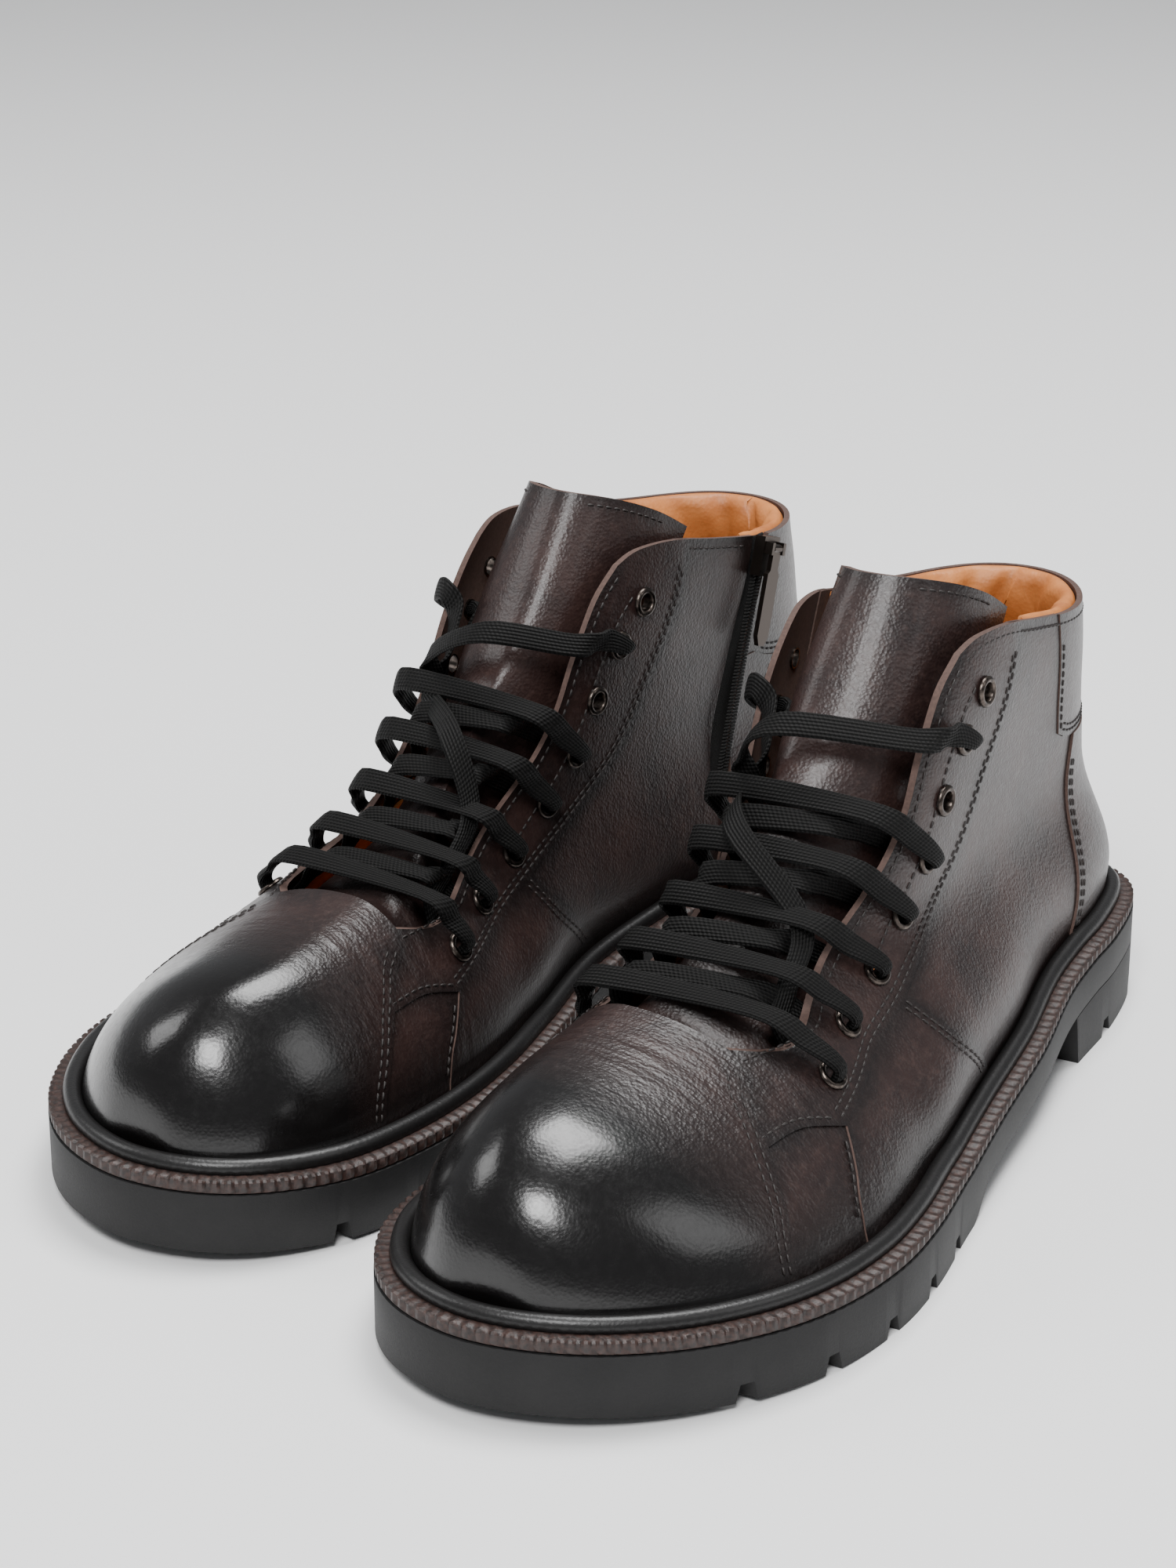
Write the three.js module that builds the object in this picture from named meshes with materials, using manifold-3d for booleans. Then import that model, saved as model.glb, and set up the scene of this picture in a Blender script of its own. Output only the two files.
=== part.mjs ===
// A pair of lace-up ankle boots with an inside zip, a stitched welt and a lugged rubber sole.
// Each boot is laid out in its own frame: x across (lateral side positive), s the distance forward
// from the back of the heel, z up from the floor. The right boot is the left boot mirrored.
import * as THREE from "three";
import { mergeVertices } from "three/addons/utils/BufferGeometryUtils.js";
import Module from "manifold-3d";

const wasm = await Module();
wasm.setup();

// Driving dimensions, in millimetres.
const soleLength = 304;
const soleWidth = 113.6;
const foreSole = 15.4;
const heelRise = 10.4;
const toeSpring = 4.3;
const waistBand = 9.7;
const heelLength = 76;
const shaftHeight = 102;
const weltWidth = 7.6;
const weltThickness = 3.2;
const beadWidth = 3.8;
const beadHeight = 3.2;
const leather = 1.8;
const liningThickness = 1.2;
const puffThickness = 1.2;
const counterThickness = 1.5;
const collarPadding = 3.7;
const collarPadDepth = 28;
const tongueThickness = 2;
const tapeThickness = 0.8;
const insoleThickness = 2.5;
const footbedThickness = 3;
const eyeletHole = 2.4;
const eyeletBarrel = 3;
const eyeletRim = 4;
const laceDiameter = 2;
const zipWidth = 8;
const zipTapeWidth = 16;
const coilWidth = 5.2;
const sliderLength = 11;
const sliderThickness = 3.2;
const pullLength = 27;
const pullWidth = 5.5;
const pullThickness = 1.4;
const pullHead = 3.6;
const lugDepth = 4.5;
const lugSlot = 6;
const gap = 0.3;
const standApart = [-111.3, 25.2];
const toeOut = THREE.MathUtils.degToRad(-8);

// Depths below the outer skin where each layer of the upper starts and ends.
const tapeTop = leather + gap;
const tapeBottom = tapeTop + tapeThickness;
const liningTop = leather + gap + counterThickness + gap;
const liningBottom = liningTop + liningThickness;
const laceDepth = tapeBottom + 0.4 + gap + laceDiameter / 2;
const laceSag = 3.2;
const tongueTop = laceDepth + laceDiameter / 2 + laceSag;

// A last of 304 x 113.6 mm with a 15.4 mm sole and a 102 mm shaft, scaled to the sizes above.
const along = (s) => (s / 304) * soleLength;
const across = (x) => (x / 113.6) * soleWidth;
const up = (z) => foreSole + ((z - 15.4) / 102) * shaftHeight;
const side = (points) => points.map(([s, z]) => [along(s), up(z)]);
const clamp = THREE.MathUtils.clamp;
const ease = (t) => THREE.MathUtils.smoothstep(t, 0, 1);

// A smooth function through points whose first number rises.
function through(points) {
  const slope = (i) => {
    const [x0, y0] = points[Math.max(i - 1, 0)];
    const [x1, y1] = points[Math.min(i + 1, points.length - 1)];
    return (y1 - y0) / (x1 - x0);
  };
  return (x) => {
    const found = points.findIndex((point) => x < point[0]);
    const i = found === -1 ? points.length - 2 : Math.max(found - 1, 0);
    const width = points[i + 1][0] - points[i][0];
    const t = clamp((x - points[i][0]) / width, 0, 1);
    const bend = t * (1 - t) * width;
    const straight = points[i][1] * (1 - ease(t)) + points[i + 1][1] * ease(t);
    return straight + bend * ((1 - t) * slope(i) - t * slope(i + 1));
  };
}

// Where a polyline of [a, b] points first crosses a value on one axis, on the other axis.
function crossing(line, axis, value) {
  for (let i = 1; i < line.length; i++) {
    const from = line[i - 1][axis];
    const to = line[i][axis];
    if (Math.min(from, to) <= value && value <= Math.max(from, to) && from !== to) {
      const t = (value - from) / (to - from);
      return line[i - 1][1 - axis] * (1 - t) + line[i][1 - axis] * t;
    }
  }
  const first = Math.abs(line[0][axis] - value) < Math.abs(line.at(-1)[axis] - value);
  return first ? line[0][1 - axis] : line.at(-1)[1 - axis];
}

// A polyline moved sideways to its left by a distance.
function moved(line, distance, closed = false) {
  const count = line.length;
  return line.map(([a, b], i) => {
    const before = closed ? line[(i + count - 1) % count] : line[Math.max(i - 1, 0)];
    const after = closed ? line[(i + 1) % count] : line[Math.min(i + 1, count - 1)];
    const length = Math.hypot(after[0] - before[0], after[1] - before[1]);
    const normal = [-(after[1] - before[1]) / length, (after[0] - before[0]) / length];
    return [a + normal[0] * distance, b + normal[1] * distance];
  });
}

const remember = (make) => {
  const known = new Map();
  return (key) => known.get(key) ?? known.set(key, make(key)).get(key);
};

// The edge of the sole seen from below, from the back of the heel round the lateral side.
const soleEdge = [
  [0, 0], [5, 20], [18, 34], [45, 40], [80, 41.5], [112, 46.5], [145, 49.5], [175, 53],
  [200, 56.5], [222, 57], [245, 53], [265, 44.5], [284, 30.5], [298, 12], [304, -9],
  [300, -28], [288, -43], [268, -53.5], [245, -56.6], [220, -55.6], [195, -51], [168, -43],
  [140, -36], [110, -35.5], [80, -37.5], [45, -39.7], [18, -33], [5, -19.5],
].map(([s, x]) => new THREE.Vector3(along(s), across(x), 0));
const soleOutline = new THREE.CatmullRomCurve3(soleEdge, true, "centripetal")
  .getPoints(56)
  .slice(0, -1)
  .map((point) => [point.x, point.y]);
const outlineAt = remember((inset) => moved(soleOutline, -inset, true));

// The two sides of the outline, each from the heel to the toe.
const sidesAt = remember((inset) => {
  const line = outlineAt(inset);
  const stations = line.map((point) => point[0]);
  const heel = stations.indexOf(Math.min(...stations));
  const turned = [...line.slice(heel), ...line.slice(0, heel)];
  const toe = turned.findIndex((point) => point[0] === Math.max(...stations));
  const medial = [...turned.slice(toe), turned[0]].reverse();
  return { lateral: turned.slice(0, toe + 1), medial };
});

// Heights along the boot: the sole's top edge, the line over the instep and the back of the heel.
const soleTop = (s) => {
  const rise = heelRise * clamp((along(170) - s) / along(110), 0, 1);
  return foreSole + rise + toeSpring * clamp((s - along(215)) / along(89), 0, 1) ** 2;
};
const weltTop = (s) => soleTop(s) + weltThickness;
const ridgeCurve = new THREE.SplineCurve(
  side([
    [293.8, 14], [294, 30], [291.4, 40], [286, 48], [278, 54], [266, 58.6], [245, 61], [220, 64],
    [203, 70], [190, 78], [180, 87], [170, 96.5], [160, 106.5], [150, 118], [140, 131], [130, 144],
    [120, 157], [108, 175], [98, 190],
  ]).map(([s, z]) => new THREE.Vector2(s, z)),
);
const ridgeLine = ridgeCurve.getPoints(110).map((point) => [point.x, point.y]);
const ridgeAt = remember((inset) => moved(ridgeLine, inset));
const heelBack = through([
  [10, 7.7], [33, 7.7], [42, 6.3], [60, 8.5], [80, 12.5], [100, 17], [120, 21.5], [145, 20],
].map(([z, s]) => [up(z), along(s)]));
const ridgeOffset = through([
  [0, 0], [90, 1], [140, -6], [180, -11], [215, -15], [250, -18], [280, -13.5], [296, -9],
].map(([s, x]) => [along(s), across(x)]));
const ankleHalf = through([
  [20, 33], [45, 28.2], [65, 25.4], [90, 26.5], [115, 28.8], [145, 28.3],
].map(([z, x]) => [up(z), across(x)]));

// Half the boot's width on one side (+1 lateral, -1 medial), with its outline drawn in by a depth.
function halfWidth(hand, s, z, depth) {
  const middle = ridgeOffset(s);
  const back = heelBack(z) + depth;
  const edges = sidesAt(weltWidth + depth);
  const edge = hand > 0 ? edges.lateral : edges.medial;
  const shift = (back - weltWidth - depth) * clamp((along(150) - s) / along(150), 0, 1);
  const onSole = clamp(s - shift, edge[0][0], edge.at(-1)[0]);
  const foot = Math.max(hand * (crossing(edge, 0, onSole) - middle), 0);
  const height = (z - weltTop(s) - beadHeight) / 30;
  const bulge = 1.5 * Math.sin(Math.PI * clamp(height, 0, 1)) * clamp(foot / 12, 0, 1);
  const roundness = Math.max(1 - (1 - clamp((s - back) / 46, 0, 1)) ** 2.1, 0);
  const ankle = Math.max(ankleHalf(z) - depth - hand * middle, 0) * roundness ** (1 / 2.1);
  const blend = ease((z - up(28)) / 44) * ease((along(215) - s) / 60);
  const wide = (foot + bulge) * (1 - blend) + ankle * blend;
  const feather = soleTop(s) + 2;
  const ridge = crossing([...ridgeAt(depth)].reverse(), 0, s);
  const share = clamp((z - feather) / (ridge - feather), 0, 1);
  const power = 1.3 + 3.7 * ease((along(185) - s) / 60);
  const root = 1.6 + 0.4 * ease((along(185) - s) / 45);
  return wide * Math.max(1 - share ** power, 0) ** (1 / root);
}

// The same, but drawn in square to the skin, which slopes.
function layerWidth(hand, s, z, depth) {
  if (depth === 0) return halfWidth(hand, s, z, 0);
  const forwardSlope = halfWidth(hand, s + 1, z, 0) - halfWidth(hand, s - 1, z, 0);
  const upSlope = halfWidth(hand, s, z + 1, 0) - halfWidth(hand, s, z - 1, 0);
  const stretch = Math.min(Math.hypot(1, forwardSlope / 2, upSlope / 2), 4);
  const drawnIn = halfWidth(hand, s, z, 0) - depth * stretch;
  return Math.max(Math.min(drawnIn, halfWidth(hand, s, z, depth)), 0);
}
const skinX = (hand, s, z, depth) => ridgeOffset(s) + hand * layerWidth(hand, s, z, depth);
const place = (x, s, z) => new THREE.Vector3(x, soleLength / 2 - s, z);

// Solids.
function solidOf(geometry) {
  const bare = geometry.clone();
  bare.deleteAttribute("normal");
  bare.deleteAttribute("uv");
  const merged = mergeVertices(bare, 1e-4);
  const triVerts = new Uint32Array(merged.index.array);
  const vertProperties = new Float32Array(merged.attributes.position.array);
  return new wasm.Manifold(new wasm.Mesh({ numProp: 3, vertProperties, triVerts }));
}

function geometryOf(solid) {
  const mesh = solid.getMesh();
  const geometry = new THREE.BufferGeometry();
  geometry.setAttribute("position", new THREE.BufferAttribute(mesh.vertProperties, 3));
  geometry.setIndex(new THREE.BufferAttribute(mesh.triVerts, 1));
  const faceted = geometry.toNonIndexed();
  faceted.computeVertexNormals();
  return faceted;
}

// A closed body through level rings of points, each end a fan about its middle.
function ringBody(rings) {
  const count = rings[0].length;
  const vertices = rings.flat();
  const faces = [];
  for (let k = 0; k < rings.length - 1; k++) {
    for (let i = 0; i < count; i++) {
      const a = k * count + i;
      const b = k * count + ((i + 1) % count);
      faces.push(a, b, b + count, a, b + count, a + count);
    }
  }
  for (const [ring, turn] of [[0, -1], [rings.length - 1, 1]]) {
    const hub = vertices.length;
    const centre = new THREE.Vector3();
    rings[ring].forEach((point) => centre.addScaledVector(point, 1 / count));
    vertices.push(centre);
    for (let i = 0; i < count; i++) {
      const edge = [ring * count + i, ring * count + ((i + 1) % count)];
      faces.push(hub, ...(turn > 0 ? edge : edge.reverse()));
    }
  }
  const vertProperties = new Float32Array(vertices.flatMap((point) => point.toArray()));
  const triVerts = new Uint32Array(faces);
  return new wasm.Manifold(new wasm.Mesh({ numProp: 3, vertProperties, triVerts }));
}

const levels = [24, 34, 43, 51, 58, 66, 78, 94, 112, 132];
const skinTop = 150;
const skinSteps = 10;
const bodyAt = remember((depth) => {
  const reach = depth === 0 ? 0 : 4;
  const heights = [up(14) - reach, ...levels.map(up), up(skinTop) + reach];
  const rings = heights.map((z) => {
    const hasWidth = (s) => layerWidth(-1, s, z, depth) + layerWidth(1, s, z, depth) > 1.5;
    const inwards = [0, 0.5, 1, 1.5, 2, 2.5, 3, 4, 5, 6, 8, 10, 12];
    const firstBack = heelBack(z) + depth;
    const firstFront = crossing(ridgeAt(depth), 1, z);
    const back = firstBack + (inwards.find((step) => hasWidth(firstBack + step + 0.5)) ?? 0);
    const front = firstFront - (inwards.find((step) => hasWidth(firstFront - step - 0.5)) ?? 0);
    const ring = [];
    for (let i = 0; i < skinSteps * 2; i++) {
      const turn = (i / skinSteps) * Math.PI;
      const s = back + ((front - back) * (1 - Math.cos(turn))) / 2;
      const hand = i <= skinSteps ? -1 : 1;
      const onEnd = i === 0 || i === skinSteps;
      ring.push(place(onEnd ? ridgeOffset(s) : skinX(hand, s, z, depth), s, z));
    }
    return ring;
  });
  return ringBody(rings);
});
const shell = (outer, inner) => bodyAt(outer).subtract(bodyAt(inner));

// A prism with a side-view outline of [s, z] points, between two values of x.
function sidePrism(points, from = -90, to = 90) {
  const shape = new THREE.Shape(points.map(([s, z]) => new THREE.Vector2(soleLength / 2 - s, z)));
  const geometry = new THREE.ExtrudeGeometry(shape, { depth: to - from, bevelEnabled: false });
  const turn = new THREE.Matrix4().set(0, 0, 1, from, 1, 0, 0, 0, 0, 1, 0, 0, 0, 0, 0, 1);
  return solidOf(geometry.applyMatrix4(turn));
}

// A prism with the sole's outline at an inset, over its whole height.
const planPrism = remember((inset) => {
  const shape = new THREE.Shape(
    outlineAt(inset).map(([s, x]) => new THREE.Vector2(x, soleLength / 2 - s)),
  );
  return solidOf(new THREE.ExtrudeGeometry(shape, { depth: 60, bevelEnabled: false }));
});

// The layer between two heights above the sole's top edge.
const stations = [-20, 60, 115, 170, 215, 250, 280, 320].map(along);
function layer(low, high) {
  const bottom = stations.map((s) => [s, soleTop(s) + low]);
  const top = stations.map((s) => [s, soleTop(s) + high]);
  return sidePrism([...bottom, ...top.reverse()]);
}

// A band of a width along a side-view line.
function ribbon(line, width, from = -90, to = 90) {
  return sidePrism([...moved(line, width / 2), ...moved(line, -width / 2).reverse()], from, to);
}

// Seams and edges of the upper, seen from the side. The ones with a hand are on that side only.
const floorZ = 8;
const skyZ = 200;
const vampEdge = side([
  [250, floorZ], [247, 25], [242, 34], [236, 42], [234, 44], [228, 50], [219, 58], [212, 90],
]);
const facingEdge = side([
  [219, 58], [205, 55.5], [189, 61.5], [171.5, 71], [157.5, 80.5], [147.5, 92], [140, 106],
  [131, 119], [122, 126.5],
]);
const stayRear = side([
  [209, 40.6], [191, 45], [168, 52.5], [142, 63], [122, 75.5], [108, 95], [98, 113], [91, 135],
]);
const stayFoot = side([[234, 44], [221, 44], [209, 40.6]]);
const wingSeam = side([[209, 40.6], [215, 33], [220, 26], [226, floorZ]]);
const sideSeam = side([[164, 54.5], [154, 42], [136, 25], [126, floorZ]]);
const topline = side([
  [122, 126.5], [114, 129], [100, 128.5], [82, 124.5], [62, 120.5], [42, 118], [15, 117.4],
  [-10, 117.4],
]);
const heelSeam = side([[68, floorZ], [62, 30], [53, 55], [47, 82]]);
const collarFoot = side([[-10, 80], [10, 80], [47, 82], [60, 86]]);
const collarFront = side([[60, 86], [67, 115], [70, 135]]);
const zipLine = side([[54.4, 139], [80, 48]]);
const zipFoot = side([[80, 48], [82, 30], [84, floorZ]]);
const tongueRear = side([
  [231, 46], [206, 43], [188, 47.5], [164, 55], [140, 65], [119, 78], [105, 97], [94, 115],
  [84, 127],
]);
const tongueEnd = side([[84, 127], [96, 134], [110, 140], [124, 143.5], [140, 145]]);
const tongueFold = side([[104, 91], [170, 112]]);
const eyelets = side([
  [202, 49], [185.5, 54.5], [168, 61], [152.5, 69.5], [141, 80], [133, 92.5], [124, 105.5],
  [114, 115],
]);
const forward = soleLength + 40;
const behind = -20;
const lateral = [-5, 90];
const medial = [-90, -5];

const parts = [];
function add(name, solid, material) {
  parts.push({ name, geometry: geometryOf(solid), material });
}
const finish = (color, roughness, metalness = 0) => ({ color, roughness, metalness });
const burnished = finish(0x2b2221, 0.35);
const tan = finish(0xc08552, 0.6);
const rubber = finish(0x19191b, 0.7);
const board = finish(0x8a6a45, 0.8);
const gunmetal = finish(0x3f3a37, 0.35, 1);
const woven = finish(0x101012, 0.8);

// A boolean leaves loose crumbs where two faces graze each other, so only the body is kept.
function body(solid) {
  return solid.decompose().sort((a, b) => b.volume() - a.volume())[0];
}

// The outward normal of the skin at a side, station and height.
function skinNormal(hand, s, z) {
  const at = (ds, dz) => place(skinX(hand, s + ds, z + dz, 0), s + ds, z + dz);
  const alongSkin = at(1, 0).sub(at(-1, 0));
  const upSkin = at(0, 1).sub(at(0, -1));
  const normal = alongSkin.cross(upSkin).normalize();
  return normal.x * hand > 0 ? normal : normal.negate();
}

// A turned piece or a hole on the skin, its axis along the normal there.
const eyeletSides = 6;
function onSkin(geometry, hand, s, z) {
  const turn = new THREE.Quaternion().setFromUnitVectors(
    new THREE.Vector3(0, 1, 0), skinNormal(hand, s, z),
  );
  const matrix = new THREE.Matrix4().makeRotationFromQuaternion(turn);
  return solidOf(geometry.applyMatrix4(matrix.setPosition(place(skinX(hand, s, z, 0), s, z))));
}
function drill(radius, hand, s, z) {
  return onSkin(new THREE.CylinderGeometry(radius, radius, 12, eyeletSides), hand, s, z);
}
const eyeletHoleAt = (hand, s, z) => {
  return drill((eyeletBarrel + gap) / Math.cos(Math.PI / eyeletSides), hand, s, z);
};

// Sole: a lugged outsole with a thinner waist, and a heel block under it.
const waistUnder = (s) => soleTop(s) - waistBand;
const curl = (s) => toeSpring * clamp((s - along(215)) / along(89), 0, 1) ** 2;
const notchRing = planPrism(0).subtract(planPrism(14));
function notched(solid, places) {
  return places.reduce((left, s) => {
    const slot = sidePrism([
      [along(s) - lugSlot / 2, -1], [along(s) + lugSlot / 2, -1],
      [along(s) + lugSlot / 3, curl(along(s)) + lugDepth],
      [along(s) - lugSlot / 3, curl(along(s)) + lugDepth],
    ]);
    return left.subtract(slot.intersect(notchRing));
  }, solid);
}
const treadFront = stations.filter((s) => s >= along(215)).map((s) => [s, curl(s)]);
const waistLine = stations.filter((s) => s < along(150)).map((s) => [s, waistUnder(s)]);
const outsoleSide = [
  ...waistLine, [along(158), waistUnder(along(158))], [along(168), 0], ...treadFront,
  ...stations.map((s) => [s, soleTop(s) - gap]).reverse(),
];
const outsole = planPrism(0).intersect(sidePrism(outsoleSide));
add("outsole", body(notched(outsole, [270, 248, 226, 204, 184])), rubber);

const heelTop = stations.filter((s) => s < heelLength).map((s) => [s, waistUnder(s) - gap]);
const heelSide = [...heelTop, [heelLength, waistUnder(heelLength) - gap], [heelLength - 3, 0], [behind, 0]];
add("heel_block", body(notched(planPrism(0).intersect(sidePrism(heelSide)), [22, 52])), rubber);

// Welt: a flat strip stitched over the outsole, with a raised bead against the upper.
const stripInset = 20;
const insideWelt = weltWidth - 2 * gap;
const strip = planPrism(0).subtract(planPrism(stripInset)).intersect(layer(0, weltThickness));
const bead = planPrism(insideWelt - beadWidth).subtract(planPrism(insideWelt + beadWidth))
  .subtract(bodyAt(-3 * gap));
const beadLayer = layer(weltThickness / 2, weltThickness + beadHeight);
add("welt", body(strip.add(bead.intersect(beadLayer))), finish(0x241a19, 0.6));

// Inside the sole: filler with the steel shank let into it, the insole board and the footbed.
const shankStart = along(70);
const shankEnd = along(172);
const shankHalfWidth = 7;
const shankThickness = 1.2;
const shankFloor = weltThickness - gap - shankThickness;
const shankBox = (grow) => {
  const outline = [
    [shankStart - grow, floorZ], [shankEnd + grow, floorZ], [shankEnd + grow, 60],
    [shankStart - grow, 60],
  ];
  return sidePrism(outline, -shankHalfWidth - grow, shankHalfWidth + grow);
};
const pocket = shankBox(gap).intersect(layer(shankFloor - gap, weltThickness + 1));
const fillerPlan = planPrism(stripInset + gap);
const filler = fillerPlan.intersect(layer(0, weltThickness)).subtract(pocket);
add("cork_filler", body(filler), board);
const shank = shankBox(0).intersect(layer(shankFloor, shankFloor + shankThickness));
add("steel_shank", body(shank), finish(0x8d9094, 0.4, 1));
const footSpace = bodyAt(liningBottom + gap);
const insoleFoot = weltThickness + gap;
const insoleLayer = layer(insoleFoot, insoleFoot + insoleThickness);
add("insole_board", body(footSpace.intersect(insoleLayer)), board);
const footbedFoot = insoleFoot + insoleThickness + gap;
const footbedLayer = layer(footbedFoot, footbedFoot + footbedThickness);
add("footbed", body(footSpace.intersect(footbedLayer)), tan);

// The outer leather, trimmed to the welt and the topline, with the throat and the zip slot open.
const aboveWelt = layer(weltThickness + gap, 160);
const overTopline = (drop) => {
  const lowered = topline.map(([s, z]) => [s, z - drop]);
  return sidePrism([...lowered, [-10, skyZ], [along(122), skyZ]]);
};
const throat = sidePrism([
  ...facingEdge, [along(122), skyZ], [forward, skyZ], [forward, up(75)], [along(222), up(75)],
]);
const zipSlot = ribbon(zipLine, zipWidth, ...medial);
const cuts = [
  ribbon(vampEdge, gap), ribbon(stayRear, gap), ribbon(stayFoot, gap), ribbon(wingSeam, gap),
  ribbon(sideSeam, gap), ribbon(heelSeam, gap, 0, 90), ribbon(collarFront, gap, 0, 90),
  ribbon(collarFoot, gap), ribbon(side([[60, 86], [74, 86]]), gap, ...medial), zipSlot,
  ribbon(zipFoot, gap, ...medial),
];
const trimmed = shell(0, leather).intersect(aboveWelt).subtract(overTopline(0)).subtract(throat);
const skin = cuts.reduce((left, cut) => left.subtract(cut), trimmed);

const vampArea = sidePrism([...vampEdge, [forward, up(90)], [forward, floorZ]]);
add("vamp", body(skin.intersect(vampArea)), burnished);
const reversed = (line) => line.slice().reverse();
const quarterFront = [...reversed(sideSeam), ...stayRear.slice(3)];
const quarterRear = {
  lateral: [[along(70), skyZ], ...reversed(collarFront), ...collarFoot.slice(2, 3), ...reversed(heelSeam).slice(1)],
  medial: [[along(50), skyZ], ...zipLine, ...zipFoot.slice(1)],
};
for (const [hand, reach] of [["lateral", lateral], ["medial", medial]]) {
  const wing = [
    ...reversed(wingSeam), ...reversed(stayFoot).slice(1), ...reversed(vampEdge.slice(0, 4)),
  ];
  add(`${hand}_wing`, body(skin.intersect(sidePrism(wing, ...reach))), burnished);
  const stay = [
    ...stayFoot, ...stayRear.slice(1), [along(91), skyZ], [forward, skyZ],
    ...reversed(vampEdge.slice(5)),
  ];
  const stayHoles = eyelets.map(([s, z]) => eyeletHoleAt(hand === "lateral" ? 1 : -1, s, z));
  const eyestay = skin.intersect(sidePrism(stay, ...reach));
  const pierced = stayHoles.reduce((left, hole) => left.subtract(hole), eyestay);
  add(`${hand}_eyestay`, body(pierced), burnished);
  const front = [...wingSeam, ...reversed(sideSeam), ...reversed(stayRear.slice(1, 3))];
  add(`${hand}_front_quarter`, body(skin.intersect(sidePrism(front, ...reach))), burnished);
  const quarter = [...quarterFront, [along(91), skyZ], ...quarterRear[hand]];
  add(`${hand}_quarter`, body(skin.intersect(sidePrism(quarter, ...reach))), burnished);
}

// Round the heel the counter cover sits below the rear collar, both from seam to zip.
const heelLow = [[behind, floorZ], [behind, up(80)], ...collarFoot.slice(0, 3)];
const coverLateral = sidePrism([...heelLow, ...reversed(heelSeam).slice(1)], 0, 90);
const zipAtSeam = along(69.3);
const coverMedial = sidePrism(
  [...heelLow, collarFoot[3], [zipAtSeam, collarFoot[3][1]], ...zipFoot], -90, 0,
);
add("heel_cover", body(skin.intersect(coverLateral.add(coverMedial))), burnished);
const collarLateral = sidePrism([...collarFoot, ...collarFront.slice(1), [behind, skyZ]], 0, 90);
const collarMedial = sidePrism(
  [...collarFoot, [zipAtSeam, collarFoot[3][1]], zipLine[0], [behind, skyZ]], -90, 0,
);
add("rear_collar", body(skin.intersect(collarLateral.add(collarMedial))), burnished);

// Stiffeners, lining and the padded collar inside the leather.
const toeArea = sidePrism([
  [along(232), floorZ], [along(240), up(100)], [forward, up(100)], [forward, floorZ],
]);
const puff = shell(tapeTop, tapeTop + puffThickness).intersect(aboveWelt).intersect(toeArea);
add("toe_puff", body(puff), finish(0xd8d2c4, 0.8));
const counterArea = sidePrism([
  [behind, floorZ], [along(54), floorZ], [along(48), up(60)], [along(38), up(74)],
  [behind, up(74)],
]);
const counter = shell(tapeTop, tapeTop + counterThickness).intersect(aboveWelt);
add("heel_counter", body(counter.intersect(counterArea)), finish(0xd8d2c4, 0.8));
const padRear = along(74);
const padArea = sidePrism([
  [behind, up(60)], [padRear, up(60)], [padRear, skyZ], [behind, skyZ],
]);
const edgeDrop = 0.6;
const facingArea = sidePrism([
  [along(236), up(100)], [along(233), up(60)], [along(233), up(46)], ...stayFoot.slice(1),
  ...stayRear.slice(1), [along(91), skyZ], [forward, skyZ],
]);
const padded = shell(tapeBottom + gap, tapeBottom + gap + collarPadding).intersect(padArea);
const pad = padded.intersect(overTopline(collarPadDepth)).subtract(overTopline(edgeDrop));
add("padded_collar", body(pad), tan);
const padSide = [[behind, up(60)], [padRear + gap, up(60)], [padRear + gap, skyZ], [behind, skyZ]];
const padSpace = sidePrism(padSide).intersect(overTopline(collarPadDepth + gap));
const lining = shell(liningTop, liningBottom).intersect(aboveWelt).subtract(facingArea);
add("lining", body(lining.subtract(overTopline(edgeDrop)).subtract(padSpace)), tan);

// Tongue: the lower part is stitched under the vamp and the upper part folds back from it.
const tongueArea = sidePrism([...tongueRear, ...tongueEnd.slice(1), [forward, up(145)], [forward, up(46)]]);
const frontLimit = sidePrism([
  [along(236), floorZ], [along(236), up(100)], [forward, up(100)], [forward, floorZ],
]);
const tongue = shell(tongueTop, tongueTop + tongueThickness).intersect(tongueArea)
  .subtract(frontLimit).subtract(ribbon(tongueFold, gap));
const overFold = sidePrism([...tongueFold, [forward, skyZ], [behind, skyZ], [behind, tongueFold[0][1]]]);
add("tongue_lower", body(tongue.subtract(overFold)), burnished);
add("tongue_upper", body(tongue.intersect(overFold)), burnished);

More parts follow.
